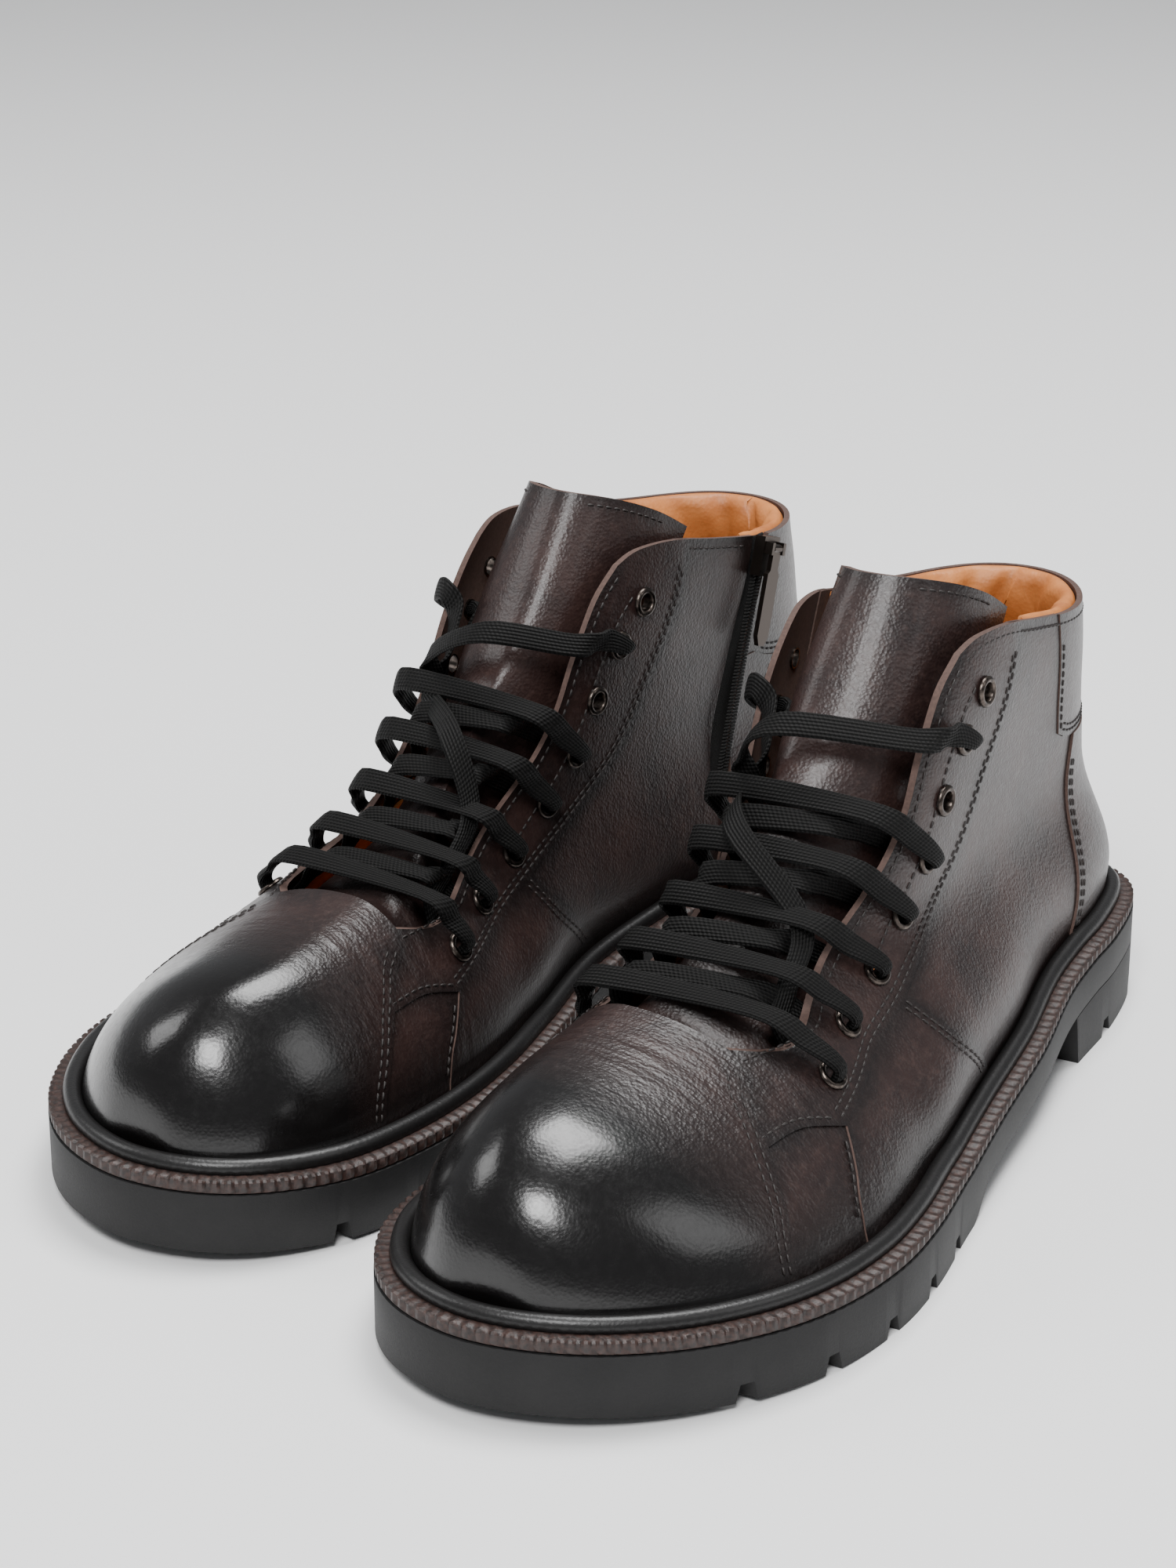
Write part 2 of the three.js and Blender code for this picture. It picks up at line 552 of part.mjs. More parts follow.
// Eyelets: a row of them clinched to the stay tape that backs each facing.
const eyeletFloor = -(tapeBottom + 0.4);
const eyeletLip = 0.8;
const eyeletProfile = [
  [eyeletHole, eyeletFloor], [eyeletBarrel, eyeletFloor], [eyeletBarrel, gap], [eyeletRim, gap],
  [eyeletHole, gap + eyeletLip], [eyeletHole, eyeletFloor],
].reverse().map(([radius, height]) => new THREE.Vector2(radius, height));
const tapeWidth = 3.4;
const tapeSag = 0.6;
for (const [hand, sign] of [["lateral", 1], ["medial", -1]]) {
  const depth = tapeTop + tapeThickness / 2 + tapeSag;
  const centres = eyelets.map(([s, z]) => {
    const skinPoint = place(skinX(sign, s, z, 0), s, z);
    return skinPoint.addScaledVector(skinNormal(sign, s, z), -depth);
  });
  const links = centres.slice(1).map((to, i) => {
    const from = centres[i];
    const reach = to.clone().sub(from);
    const out = skinNormal(sign, ...eyelets[i]);
    const wide = reach.clone().cross(out).normalize();
    const thick = wide.clone().cross(reach).normalize();
    const link = new THREE.BoxGeometry(tapeThickness, tapeWidth, reach.length());
    const frame = new THREE.Matrix4().makeBasis(thick, wide, reach.normalize());
    return solidOf(link.applyMatrix4(frame.setPosition(from.clone().add(to).multiplyScalar(0.5))));
  });
  const joined = links.reduce((left, link) => left.add(link));
  const row = eyelets.reduce((left, [s, z]) => {
    const ring = onSkin(new THREE.LatheGeometry(eyeletProfile, eyeletSides), sign, s, z);
    return left.subtract(drill((eyeletHole + eyeletBarrel) / 2, sign, s, z)).add(ring);
  }, joined);
  add(`${hand}_eyelets`, body(row), gunmetal);
}

// Zip: a straight coil on its tape, a slider that runs down it and a pull hinged on the slider.
const zipTop = along(59.7);
const zipBottom = along(80);
const zipZ = (s) => crossing(zipLine, 0, s);
const zipSamples = [0, 0.25, 0.5, 0.75, 1].map((t) => zipTop + (zipBottom - zipTop) * t);
const skinHigh = Math.max(...zipSamples.map((s) => -skinX(-1, s, zipZ(s), 0)));
const coilFace = skinHigh - tapeTop + gap;
const chainLine = [[zipTop, zipZ(zipTop)], [zipBottom, zipZ(zipBottom) + gap]];
const coil = ribbon(chainLine, coilWidth, -coilFace, 0).subtract(bodyAt(tapeBottom));
const tape = shell(tapeTop, tapeBottom).intersect(ribbon(chainLine, zipTapeWidth, ...medial));
add("zip_chain", body(coil.add(tape).subtract(overTopline(edgeDrop))), woven);

const outward = new THREE.Vector3(-1, 0, 0);
const zipUp = place(0, ...chainLine[0]).sub(place(0, ...chainLine[1])).normalize();
const zipAcross = zipUp.clone().cross(outward);
const sliderMiddle = place(-coilFace - gap, ...chainLine[0]).addScaledVector(zipUp, -sliderLength / 2);
const zipFrame = new THREE.Matrix4().makeBasis(outward, zipAcross, zipUp).setPosition(sliderMiddle);
const onZip = (geometry, x, y, z) => solidOf(geometry.translate(x, y, z).applyMatrix4(zipFrame));
const sliderWidth = zipWidth - 2 * gap;
const earThickness = 1.2;
const earHeight = 2.6;
const headRadius = 1.2;
const headZ = 2.5;
const hingeOut = sliderThickness + gap + headRadius;
const plate = new THREE.BoxGeometry(sliderThickness, sliderWidth, sliderLength);
const earShift = pullHead / 2 + gap + earThickness / 2;
const ears = [-earShift, earShift].map((y) => {
  const ear = new THREE.BoxGeometry(earHeight + 1, earThickness, 2 * headRadius + 1);
  return onZip(ear, sliderThickness + earHeight / 2 - 0.5, y, headZ);
});
const slider = ears.reduce((left, ear) => left.add(ear), onZip(plate, sliderThickness / 2, 0, 0));
add("zip_slider", body(slider), gunmetal);

const neck = 6;
const pullShape = new THREE.Shape();
pullShape.moveTo(-pullHead / 2, 0);
pullShape.lineTo(-pullHead / 2, -neck);
pullShape.lineTo(-pullWidth / 2, -neck - 1);
pullShape.lineTo(-pullWidth / 2, pullWidth / 2 - pullLength);
pullShape.lineTo(-pullWidth / 4, -pullLength);
pullShape.lineTo(pullWidth / 4, -pullLength);
pullShape.lineTo(pullWidth / 2, pullWidth / 2 - pullLength);
pullShape.lineTo(pullWidth / 2, -neck - 1);
pullShape.lineTo(pullHead / 2, -neck);
pullShape.lineTo(pullHead / 2, 0);
const blade = new THREE.ExtrudeGeometry(pullShape, { depth: pullThickness, bevelEnabled: false });
blade.applyMatrix4(new THREE.Matrix4().set(0, 0, 1, 0, 1, 0, 0, 0, 0, 1, 0, 0, 0, 0, 0, 1));
const barrel = new THREE.CylinderGeometry(headRadius, headRadius, pullHead, 10);
const pullBody = onZip(blade, hingeOut - pullThickness / 2, 0, headZ)
  .add(onZip(barrel, hingeOut, 0, headZ));
add("zip_pull", body(pullBody), gunmetal);

// Lacing. A place on the lacing is a row number, a share across from the medial eyelet (-1) over
// the instep (0) to the lateral eyelet (+1), and a depth below the skin.
const rowS = through(eyelets.map(([s], i) => [i + 1, s]));
const rowZ = through(eyelets.map(([, z], i) => [i + 1, z]));
const instepS = through([211, 199, 186.5, 174.5, 164, 155, 146.5, 138].map((s, i) => [i + 1, along(s)]));
function onLacing(row, share) {
  const reach = 1 - Math.abs(share);
  const overS = instepS(row);
  const overZ = crossing(ridgeLine, 0, overS);
  const s = rowS(row) + (overS - rowS(row)) * reach;
  const z = rowZ(row) + (overZ - rowZ(row)) * reach;
  return place(share === 0 ? ridgeOffset(s) : skinX(Math.sign(share), s, z, 0), s, z);
}
function lacingPoint(row, share, depth) {
  const over = onLacing(row, share + 0.04).sub(onLacing(row, share - 0.04));
  const upward = onLacing(row + 0.1, share).sub(onLacing(row - 0.1, share));
  const normal = over.cross(upward).normalize();
  return onLacing(row, share).addScaledVector(normal, -depth);
}
const outside = -(gap + eyeletLip + gap + laceDiameter / 2 + 0.5);
const barDepth = -4;
const crossDepth = 0.8;
const legDepth = -1.6;
const laceStations = [
  [6.5, -1, laceDepth], [7, -1, laceDepth], [7, -1, outside], [7, -0.62, outside - 0.4],
  [6.95, -0.4, -1], [6.7, -0.4, 3], [6.2, -0.42, laceDepth], [5.6, -0.46, laceDepth + 0.4],
  [5, -0.4, 2], [4, 0, legDepth], [3, 0.3, legDepth], [2, 0.42, 1.5], [1.45, 0.52, laceDepth],
];
for (let row = 1; row <= 5; row++) {
  laceStations.push(
    [row, 1, laceDepth], [row, 1, outside], [row, 0.66, barDepth], [row, 0.3, barDepth],
    [row, -0.3, barDepth], [row, -0.66, barDepth], [row, -1, outside], [row, -1, laceDepth],
  );
  if (row < 5) {
    laceStations.push(
      [row + 0.15, -0.5, laceDepth - 0.6], [row + 0.4, -0.2, crossDepth],
      [row + 0.6, 0.2, crossDepth], [row + 0.85, 0.5, laceDepth - 0.6],
    );
  }
}
laceStations.push(
  [5.2, -0.46, laceDepth - 0.4], [5.6, -0.25, -0.6], [6, 0, barDepth], [6.5, 0.4, barDepth],
  [6.9, 0.7, outside], [7, 1, outside], [7, 1, laceDepth], [6.5, 1, laceDepth],
);

// A route that keeps its own stations, so that a tube along it turns exactly there.
class Route extends THREE.Curve {
  constructor(points) {
    super();
    this.points = points;
  }
  getPoint(t) {
    const step = t * (this.points.length - 1);
    const index = Math.min(Math.floor(step), this.points.length - 2);
    return this.points[index].clone().lerp(this.points[index + 1], step - index);
  }
  getPointAt(u) {
    return this.getPoint(u);
  }
  getTangentAt(u) {
    const half = 0.5 / (this.points.length - 1);
    const ahead = this.getPoint(Math.min(u + half, 1));
    return ahead.sub(this.getPoint(Math.max(u - half, 0))).normalize();
  }
}
function lace(hand) {
  const points = laceStations.map(([row, share, depth]) => lacingPoint(row, share * hand, depth));
  const round = new THREE.Shape().absarc(0, 0, laceDiameter / 2, 0, Math.PI * 2);
  const extrudePath = new Route(points);
  return new THREE.ExtrudeGeometry(round, {
    steps: points.length - 1, curveSegments: 4, extrudePath, bevelEnabled: false,
  });
}

// The pair: the right boot is the left one mirrored, but both are laced the same way round.
function boot(name, hand) {
  const group = new THREE.Group();
  const laced = [...parts, { name: "lace", geometry: lace(hand), material: woven }];
  for (const part of laced) {
    const { color, roughness, metalness } = part.material;
    const material = new THREE.MeshStandardMaterial({ color, roughness, metalness });
    const mesh = new THREE.Mesh(part.geometry, material);
    mesh.name = `${name}_${part.name}`;
    group.add(mesh);
  }
  group.scale.x = hand;
  return group;
}
const pair = new THREE.Group();
const left = boot("left", 1);
const right = boot("right", -1);
right.position.set(standApart[0], standApart[1], 0);
right.rotation.z = toeOut;
pair.add(left, right);
pair.updateMatrixWorld(true);
const box = new THREE.Box3().setFromObject(pair, true);
const middle = box.getCenter(new THREE.Vector3());
pair.position.set(-middle.x, -middle.y, -box.min.z);

export default pair;
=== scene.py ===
import math
from functools import lru_cache
import bmesh
import bpy
import numpy as np
from mathutils import Matrix, Vector
from mathutils.bvhtree import BVHTree


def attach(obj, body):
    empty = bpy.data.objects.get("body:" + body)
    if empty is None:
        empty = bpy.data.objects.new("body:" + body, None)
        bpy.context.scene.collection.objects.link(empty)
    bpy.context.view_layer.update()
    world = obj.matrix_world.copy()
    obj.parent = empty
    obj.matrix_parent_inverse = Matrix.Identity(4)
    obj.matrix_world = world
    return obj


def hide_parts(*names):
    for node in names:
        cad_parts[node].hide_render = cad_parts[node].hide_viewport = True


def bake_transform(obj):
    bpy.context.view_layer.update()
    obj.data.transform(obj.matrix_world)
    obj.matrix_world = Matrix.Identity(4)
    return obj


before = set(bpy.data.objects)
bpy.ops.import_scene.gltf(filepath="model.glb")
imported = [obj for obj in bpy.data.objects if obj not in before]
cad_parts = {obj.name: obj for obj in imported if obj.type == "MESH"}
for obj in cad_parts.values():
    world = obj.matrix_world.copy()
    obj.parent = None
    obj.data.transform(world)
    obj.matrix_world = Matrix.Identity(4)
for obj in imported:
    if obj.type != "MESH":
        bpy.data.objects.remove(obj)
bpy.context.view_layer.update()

# Camera: it looks down a little on the pair from in front of the left boot, through a long lens.
# All places in this section are in metres.
azimuth, elevation, distance = math.radians(28.91), math.radians(21.31), 0.8
aim = Vector((0.03531, -0.08134, 0.11755))
level = math.cos(elevation)
back = Vector((math.sin(azimuth) * level, -math.cos(azimuth) * level, math.sin(elevation)))
camera_data = bpy.data.cameras.new("camera")
camera_data.lens = 81
camera_data.sensor_fit = "VERTICAL"
camera_data.sensor_height = 36
camera_data.clip_start = 0.01
camera = bpy.data.objects.new("camera", camera_data)
camera.location = aim + back * distance
camera.rotation_euler = back.to_track_quat("Z", "Y").to_euler()
bpy.context.collection.objects.link(camera)
bpy.context.scene.camera = camera

# Light: a pale, even room, with one soft box in front, one above and a weak one at each side.
# Each soft box faces the middle of the boots.
room_colour, room_strength = (0.9, 0.92, 0.95, 1), 0.3
boots_middle = Vector((0, 0, 0.06))
soft_boxes = [
    ("key", (0.5, -1.3, 1.7), 0.7, 42),
    ("left_fill", (-1.5, -0.4, 1.3), 0.8, 10),
    ("top", (0.1, 0.5, 1.9), 0.9, 44),
    ("right_fill", (1.7, 0.2, 1.2), 0.8, 5),
]
world = bpy.data.worlds.new("world")
world.use_nodes = True
room = world.node_tree.nodes["Background"]
room.inputs["Color"].default_value = room_colour
room.inputs["Strength"].default_value = room_strength
bpy.context.scene.world = world
for name, spot, size, power in soft_boxes:
    light = bpy.data.lights.new(name, "AREA")
    light.size = size
    light.energy = power
    lamp = bpy.data.objects.new(name, light)
    lamp.location = spot
    lamp.rotation_euler = (Vector(spot) - boots_middle).to_track_quat("Z", "Y").to_euler()
    bpy.context.collection.objects.link(lamp)


# Floor: a plain, pale, matt sheet that the boots stand on. It isn't part of the boots.
# Its paint is the first finish, so the classes that every finish is written with are here.
class Socket:
    """What one output of a shader node says; sums and products of it add Math nodes."""

    def __init__(self, finish, port):
        self.finish, self.port = finish, port

    def maths(self, operation, *values):
        return self.finish.node("ShaderNodeMath", {"operation": operation}, dict(enumerate(values)))

    def __add__(self, other):
        return self.maths("ADD", self, other)

    def __radd__(self, other):
        return self.maths("ADD", other, self)

    def __sub__(self, other):
        return self.maths("SUBTRACT", self, other)

    def __rsub__(self, other):
        return self.maths("SUBTRACT", other, self)

    def __mul__(self, other):
        return self.maths("MULTIPLY", self, other)

    def __rmul__(self, other):
        return self.maths("MULTIPLY", other, self)

    def at_least(self, other):
        return self.maths("MAXIMUM", self, other)

    def at_most(self, other):
        return self.maths("MINIMUM", self, other)

    def sine(self):
        return self.maths("SINE", self)

    def ramp(self, low, high):
        return ((self - low) * (1 / (high - low))).at_most(1.0).at_least(0.0)


class Finish:
    """A material with its shader, and the one method that adds any node to it."""

    def __init__(self, name):
        self.material = bpy.data.materials.new(name)
        self.material.use_nodes = True
        self.tree = self.material.node_tree
        self.shader = self.tree.nodes["Principled BSDF"]
        self.where = self.attribute("boot", "Vector")

    def feed(self, port, value):
        if isinstance(value, Socket):
            self.tree.links.new(value.port, port)
        else:
            port.default_value = value

    def node(self, kind, settings, sockets, output=0):
        made = self.tree.nodes.new(kind)
        for key, value in settings.items():
            setattr(made, key, value)
        for key, value in sockets.items():
            self.feed(made.inputs[key], value)
        return Socket(self, made.outputs[output])

    def shade(self, **values):
        for key, value in values.items():
            self.feed(self.shader.inputs[key.replace("_", " ")], value)

    def attribute(self, name, output):
        return self.node("ShaderNodeAttribute", {"attribute_name": name}, {}, output)

    def part(self, vector, axis):
        return self.node("ShaderNodeSeparateXYZ", {}, {0: vector}, axis)

    def mix(self, share, first, second):
        return self.node("ShaderNodeMix", {"data_type": "RGBA"}, {0: share, 6: first, 7: second}, 2)

    def noise(self, scale, detail=3.0, rough=0.5, where=None):
        sockets = {"Vector": where or self.where, "Scale": scale, "Detail": detail, "Roughness": rough}
        return self.node("ShaderNodeTexNoise", {}, sockets)

    def pores(self, scale):
        return self.node("ShaderNodeTexVoronoi", {}, {"Vector": self.where, "Scale": scale})

    def stretched(self, scale):
        return self.node("ShaderNodeMapping", {}, {"Vector": self.where, "Scale": scale})

    def bump(self, height, strength, distance):
        sockets = {"Height": height, "Strength": strength, "Distance": distance}
        self.shade(Normal=self.node("ShaderNodeBump", {}, sockets))


floor_paint = Finish("floor_paint")
cloud = floor_paint.node("ShaderNodeTexNoise", {}, {"Scale": 1.2})
floor_paint.shade(Base_Color=floor_paint.mix(cloud, (0.9, 0.9, 0.9, 1), (0.93, 0.93, 0.93, 1)), Roughness=0.6)
floor_half = 6
floor_corners = [(x * floor_half, y * floor_half, 0) for x, y in ((-1, -1), (1, -1), (1, 1), (-1, 1))]
floor_mesh = bpy.data.meshes.new("floor")
floor_mesh.from_pydata(floor_corners, [], [(0, 1, 2, 3)])
floor_mesh.materials.append(floor_paint.material)
floor = bpy.data.objects.new("floor", floor_mesh)
bpy.context.collection.objects.link(floor)


# Outsole: a moulded rubber sole, cut to the plan of the foot, with open lug slots along its edge.
# Each boot is drawn once in millimetres, with s from the heel to the toe, x across and z up, and
# every finished mesh is then stood in both boots.
sole_length = 304.0
tread_height, heel_rise, toe_spring = 15.4, 10.4, 4.3
spring_start, spring_run = 215, 89
sole_edge = [
    (0, 0), (5, 20), (18, 34), (45, 40), (80, 41.5), (112, 46.5), (145, 49.5), (175, 53),
    (200, 56.5), (222, 57), (245, 53), (265, 44.5), (284, 30.5), (298, 12), (304, -9),
    (300, -28), (288, -43), (268, -53.5), (245, -56.6), (220, -55.6), (195, -51), (168, -43),
    (140, -36), (110, -35.5), (80, -37.5), (45, -39.7), (18, -33), (5, -19.5),
]
stands = {
    "left": Matrix.Translation((60.55, -11.92, 0)),
    "right": (
        Matrix.Translation((-50.75, 13.28, 0))
        @ Matrix.Rotation(math.radians(-8), 4, "Z")
        @ Matrix.Scale(-1, 4, (1, 0, 0))
    ),
}

sole_rubber = Finish("sole_rubber")
grain, cloud = sole_rubber.noise(1.6, 5.0, 0.7), sole_rubber.noise(0.08)
sole_rubber.shade(
    Base_Color=sole_rubber.mix(cloud, (0.006, 0.006, 0.0065, 1), (0.016, 0.0155, 0.0155, 1)),
    Roughness=grain * 0.2 + 0.5,
    Specular_IOR_Level=0.3,
)
sole_rubber.bump(grain, 0.25, 0.0004)


def drawn(points, closed, steps):
    """A smooth line through the points, with this many steps between each two."""
    p = np.array(points, float)
    count = len(p)
    out = []
    for i in range(count if closed else count - 1):
        if closed:
            a, b, c, d = (p[(i + k) % count] for k in (-1, 0, 1, 2))
        else:
            a, b, c, d = (p[min(max(i + k, 0), count - 1)] for k in (-1, 0, 1, 2))
        for t in np.arange(steps) / steps:
            square = (2 * a - 5 * b + 4 * c - d) * t**2
            cube = (3 * b - a - 3 * c + d) * t**3
            out.append(0.5 * (2 * b + (c - a) * t + square + cube))
    if not closed:
        out.append(p[-1])
    return np.array(out)


def moved(line, distance, closed=False):
    """The line moved sideways, to the left of the way it runs."""
    line = np.array(line, float)
    if closed:
        run = np.roll(line, -1, 0) - np.roll(line, 1, 0)
    else:
        run = np.gradient(line, axis=0)
    run /= np.maximum(np.linalg.norm(run, axis=1, keepdims=True), 1e-9)
    return line + distance * np.stack([-run[:, 1], run[:, 0]], 1)


def place(x, s, z):
    return np.stack(np.broadcast_arrays(x, sole_length / 2 - np.asarray(s, float), z), -1)


def mesh_of(points, faces):
    mesh = bpy.data.meshes.new("tool")
    mesh.from_pydata([tuple(p) for p in points], [], faces)
    return mesh


def closed_right(mesh):
    """The same mesh with all its faces pointing out."""
    shape = bmesh.new()
    shape.from_mesh(mesh)
    bmesh.ops.recalc_face_normals(shape, faces=shape.faces)
    shape.to_mesh(mesh)
    shape.free()
    return mesh


def ring_body(rings):
    """A closed body through rings of equal count, flat at both ends."""
    count = len(rings[0])
    faces = []
    for k in range(len(rings) - 1):
        for i in range(count):
            j = (i + 1) % count
            faces.append((k * count + i, k * count + j, (k + 1) * count + j, (k + 1) * count + i))
    faces.append(tuple(range(count))[::-1])
    faces.append(tuple(range((len(rings) - 1) * count, len(rings) * count)))
    return mesh_of(np.vstack(rings), faces)


def side_prism(points, low=-90, high=90):
    """A side-view outline of (s, z) points, as thick as from low to high across the boot."""
    line = np.array(points, float)
    area = np.sum(line[:, 0] * np.roll(line[:, 1], -1) - line[:, 1] * np.roll(line[:, 0], -1))
    line = line[:: 1 if area > 0 else -1]
    return ring_body([place(np.full(len(line), x), line[:, 0], line[:, 1]) for x in (low, high)])


def plan_prism(inset, low=-5, high=60):
    line = moved(outline, -inset, True)[::-1]
    return ring_body([place(line[:, 1], line[:, 0], np.full(len(line), z)) for z in (low, high)])


def result_of(made):
    """The mesh that an object's modifiers leave."""
    bpy.context.view_layer.update()
    graph = bpy.context.evaluated_depsgraph_get()
    return bpy.data.meshes.new_from_object(made.evaluated_get(graph), depsgraph=graph)


def cut(mesh, *steps):
    target = bpy.data.objects.new("target", closed_right(mesh.copy()))
    bpy.context.collection.objects.link(target)
    helpers = []
    for operation, other in steps:
        helper = bpy.data.objects.new("helper", closed_right(other))
        bpy.context.collection.objects.link(helper)
        helpers.append(helper)
        modifier = target.modifiers.new("cut", "BOOLEAN")
        modifier.operation = operation
        modifier.object = helper
        modifier.solver = "MANIFOLD"
    result = result_of(target)
    for helper in [target, *helpers]:
        bpy.data.objects.remove(helper)
    return result


def bevelled(mesh, width=0.7, angle=40):
    made = bpy.data.objects.new("bevelled", mesh)
    bpy.context.collection.objects.link(made)
    modifier = made.modifiers.new("bevel", "BEVEL")
    modifier.width = width
    modifier.segments = 2
    modifier.limit_method = "ANGLE"
    modifier.angle_limit = math.radians(angle)
    result = result_of(made)
    bpy.data.objects.remove(made)
    return result


def dressed(mesh, *finishes):
    mesh.materials.clear()
    for finish in finishes:
        mesh.materials.append(finish.material)
    return mesh


def vertices_of(mesh):
    return np.array([v.co for v in mesh.vertices], float)


def to_metres(boot):
    return Matrix.Scale(0.001, 4) @ stands[boot]


def stand(boot, mesh, name, nodes, slot, body="boot", smooth=38):
    """One boot's copy of a mesh, riding on its body; its vertices keep where they lie in the boot."""
    mesh = mesh.copy()
    mesh.name = f"{boot}_{name}"
    points = vertices_of(mesh)
    where = np.stack([points[:, 0], sole_length / 2 - points[:, 1], points[:, 2]], 1)
    attribute = mesh.attributes.new("boot", "FLOAT_VECTOR", "POINT")
    attribute.data.foreach_set("vector", where.astype(np.float32).ravel())
    mesh.polygons.foreach_set("use_smooth", [True] * len(mesh.polygons))
    mesh.set_sharp_from_angle(angle=math.radians(smooth))
    mesh.transform(to_metres(boot))
    if stands[boot].determinant() < 0:
        mesh.flip_normals()
    made = bpy.data.objects.new(mesh.name, mesh)
    bpy.context.collection.objects.link(made)
    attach(made, f"{boot}_{body}")
    if nodes:
        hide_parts(*[f"{boot}_{part}" for part in nodes])
    return made


def both(mesh, name, nodes, slot, **more):
    for boot in stands:
        stand(boot, mesh, name, nodes, slot, **more)


def curl(s):
    return toe_spring * np.clip((np.asarray(s, float) - spring_start) / spring_run, 0, 1) ** 2


def sole_top(s):
    rise = heel_rise * np.clip((170 - np.asarray(s, float)) / 110, 0, 1)
    return tread_height + rise + curl(s)


def lug(s, depth=4.5, width=6):
    floor_of_slot = curl(s) + depth
    slot = [
        (s - width / 2, -1), (s + width / 2, -1),
        (s + width / 4, floor_of_slot), (s - width / 4, floor_of_slot),
    ]
    return ("DIFFERENCE", cut(side_prism(slot), ("INTERSECT", sole_rim)))


outline = drawn(sole_edge, True, 12)
sole_rim = cut(plan_prism(-2), ("DIFFERENCE", plan_prism(14)))
outsole_thickness, welt_gap = 9.4, 0.3
fore, whole = np.linspace(215, 320, 24), np.linspace(320, -20, 60)
waist = [(s, sole_top(s) - outsole_thickness - welt_gap) for s in (-20, 60, 115, 158)]
outsole_side = np.vstack([
    waist,
    [(166, 1.2), (169, 0)],
    np.stack([fore, curl(fore)], 1),
    np.stack([whole, sole_top(whole) - welt_gap], 1),
])
outsole_lugs = [lug(s) for s in (270, 248, 226, 204, 184)]
outsole = cut(plan_prism(0), ("INTERSECT", side_prism(outsole_side)), *outsole_lugs)
both(dressed(bevelled(outsole), sole_rubber), "rubber_outsole", ["outsole"], "sole_rubber")

# Heel block: a thick rubber lift of the same plan, stuck under the back of the outsole.
# Its front face slopes back a little towards the floor, and each side has two wider lug slots.
heel_gap = 10
heel_side = [
    (-20, 0), (73, 0), (76, sole_top(76) - heel_gap),
    (60, sole_top(60) - heel_gap), (-20, sole_top(-20) - heel_gap),
]
heel_lugs = [lug(s, width=7) for s in (22, 52)]
heel = cut(plan_prism(0), ("INTERSECT", side_prism(heel_side)), *heel_lugs)
both(dressed(bevelled(heel), sole_rubber), "rubber_heel", ["heel_block"], "sole_rubber")


# Welt: a strip of brown leather sewn round the upper's foot, its edge wheeled with fine notches.
# The cork, shank and insole board lie out of sight inside it.
welt_leather = Finish("welt_leather")
grain = welt_leather.noise(0.9, 4.0)
welt_leather.shade(
    Base_Color=welt_leather.mix(grain.ramp(0.35, 0.7), (0.012, 0.007, 0.006, 1), (0.045, 0.022, 0.017, 1)),
    Roughness=0.5,
)
welt_leather.bump(grain, 0.4, 0.0004)


def around(spacing):
    """Points at an even spacing all round the sole, in whole groups of four."""
    closed = np.vstack([outline, outline[:1]])
    run = np.concatenate([[0], np.cumsum(np.linalg.norm(np.diff(closed, axis=0), axis=1))])
    count = int(run[-1] / spacing) // 4 * 4
    at = np.arange(count) / count * run[-1]
    return np.stack([np.interp(at, run, closed[:, 0]), np.interp(at, run, closed[:, 1])], 1)


def swept(rows):
    """A closed body whose section runs round the sole: one row of points for each corner."""
    rows = np.array(rows)
    profile, count = rows.shape[:2]
    faces = []
    for k in range(profile):
        for i in range(count):
            j, n = (i + 1) % count, (k + 1) % profile
            faces.append((k * count + i, k * count + j, n * count + j, n * count + i))
    return closed_right(mesh_of(rows.reshape(-1, 3), faces))


notch_spacing, notch_depth = 0.85, 0.75
welt_section = [  # inset, height, share of a notch's depth
    (0.5, 0.1, 0), (0.1, 0.8, 1), (0.1, 2.9, 1), (0.7, 3.4, 1),
    (3.4, 3.5, 0.5), (4.4, 3.2, 0), (12, 3.2, 0), (12, 0.1, 0),
]
rim = around(notch_spacing)
notch = np.where(np.arange(len(rim)) % 4 < 2, 0.0, notch_depth)
outward = moved(rim, 1, True) - rim
strip = []
for inset, height, share in welt_section:
    line = rim - outward * (inset + notch * share)[:, None]
    top = sole_top(line[:, 0]) + height - notch * share * (0.5 if height > 2.5 else 0)
    strip.append(place(line[:, 1], line[:, 0], top))
welt_nodes = ["welt", "cork_filler", "steel_shank", "insole_board"]
both(dressed(swept(strip), welt_leather), "notched_welt", welt_nodes, "welt_leather")

# Welt bead: a smooth black cord of leather, laid in the corner between the welt and the upper.
# It hides the joint and follows the welt all round.
bead_leather = Finish("bead_leather")
grain = bead_leather.noise(1.1, 4.0)
bead_leather.shade(
    Base_Color=bead_leather.mix(grain, (0.003, 0.003, 0.003, 1), (0.01, 0.009, 0.009, 1)),
    Roughness=0.38,
)
bead_leather.bump(grain, 0.3, 0.0003)
bead_inset, bead_height, bead_across, bead_up = 6.1, 4.3, 2.4, 2.5
bead = []
for angle in np.linspace(0, 2 * math.pi, 12, endpoint=False):
    line = moved(outline, -(bead_inset - bead_across * math.cos(angle)), True)
    top = sole_top(line[:, 0]) + bead_height + bead_up * math.sin(angle)
    bead.append(place(line[:, 1], line[:, 0], top))
both(dressed(swept(bead), bead_leather), "welt_bead", [], "welt_leather")


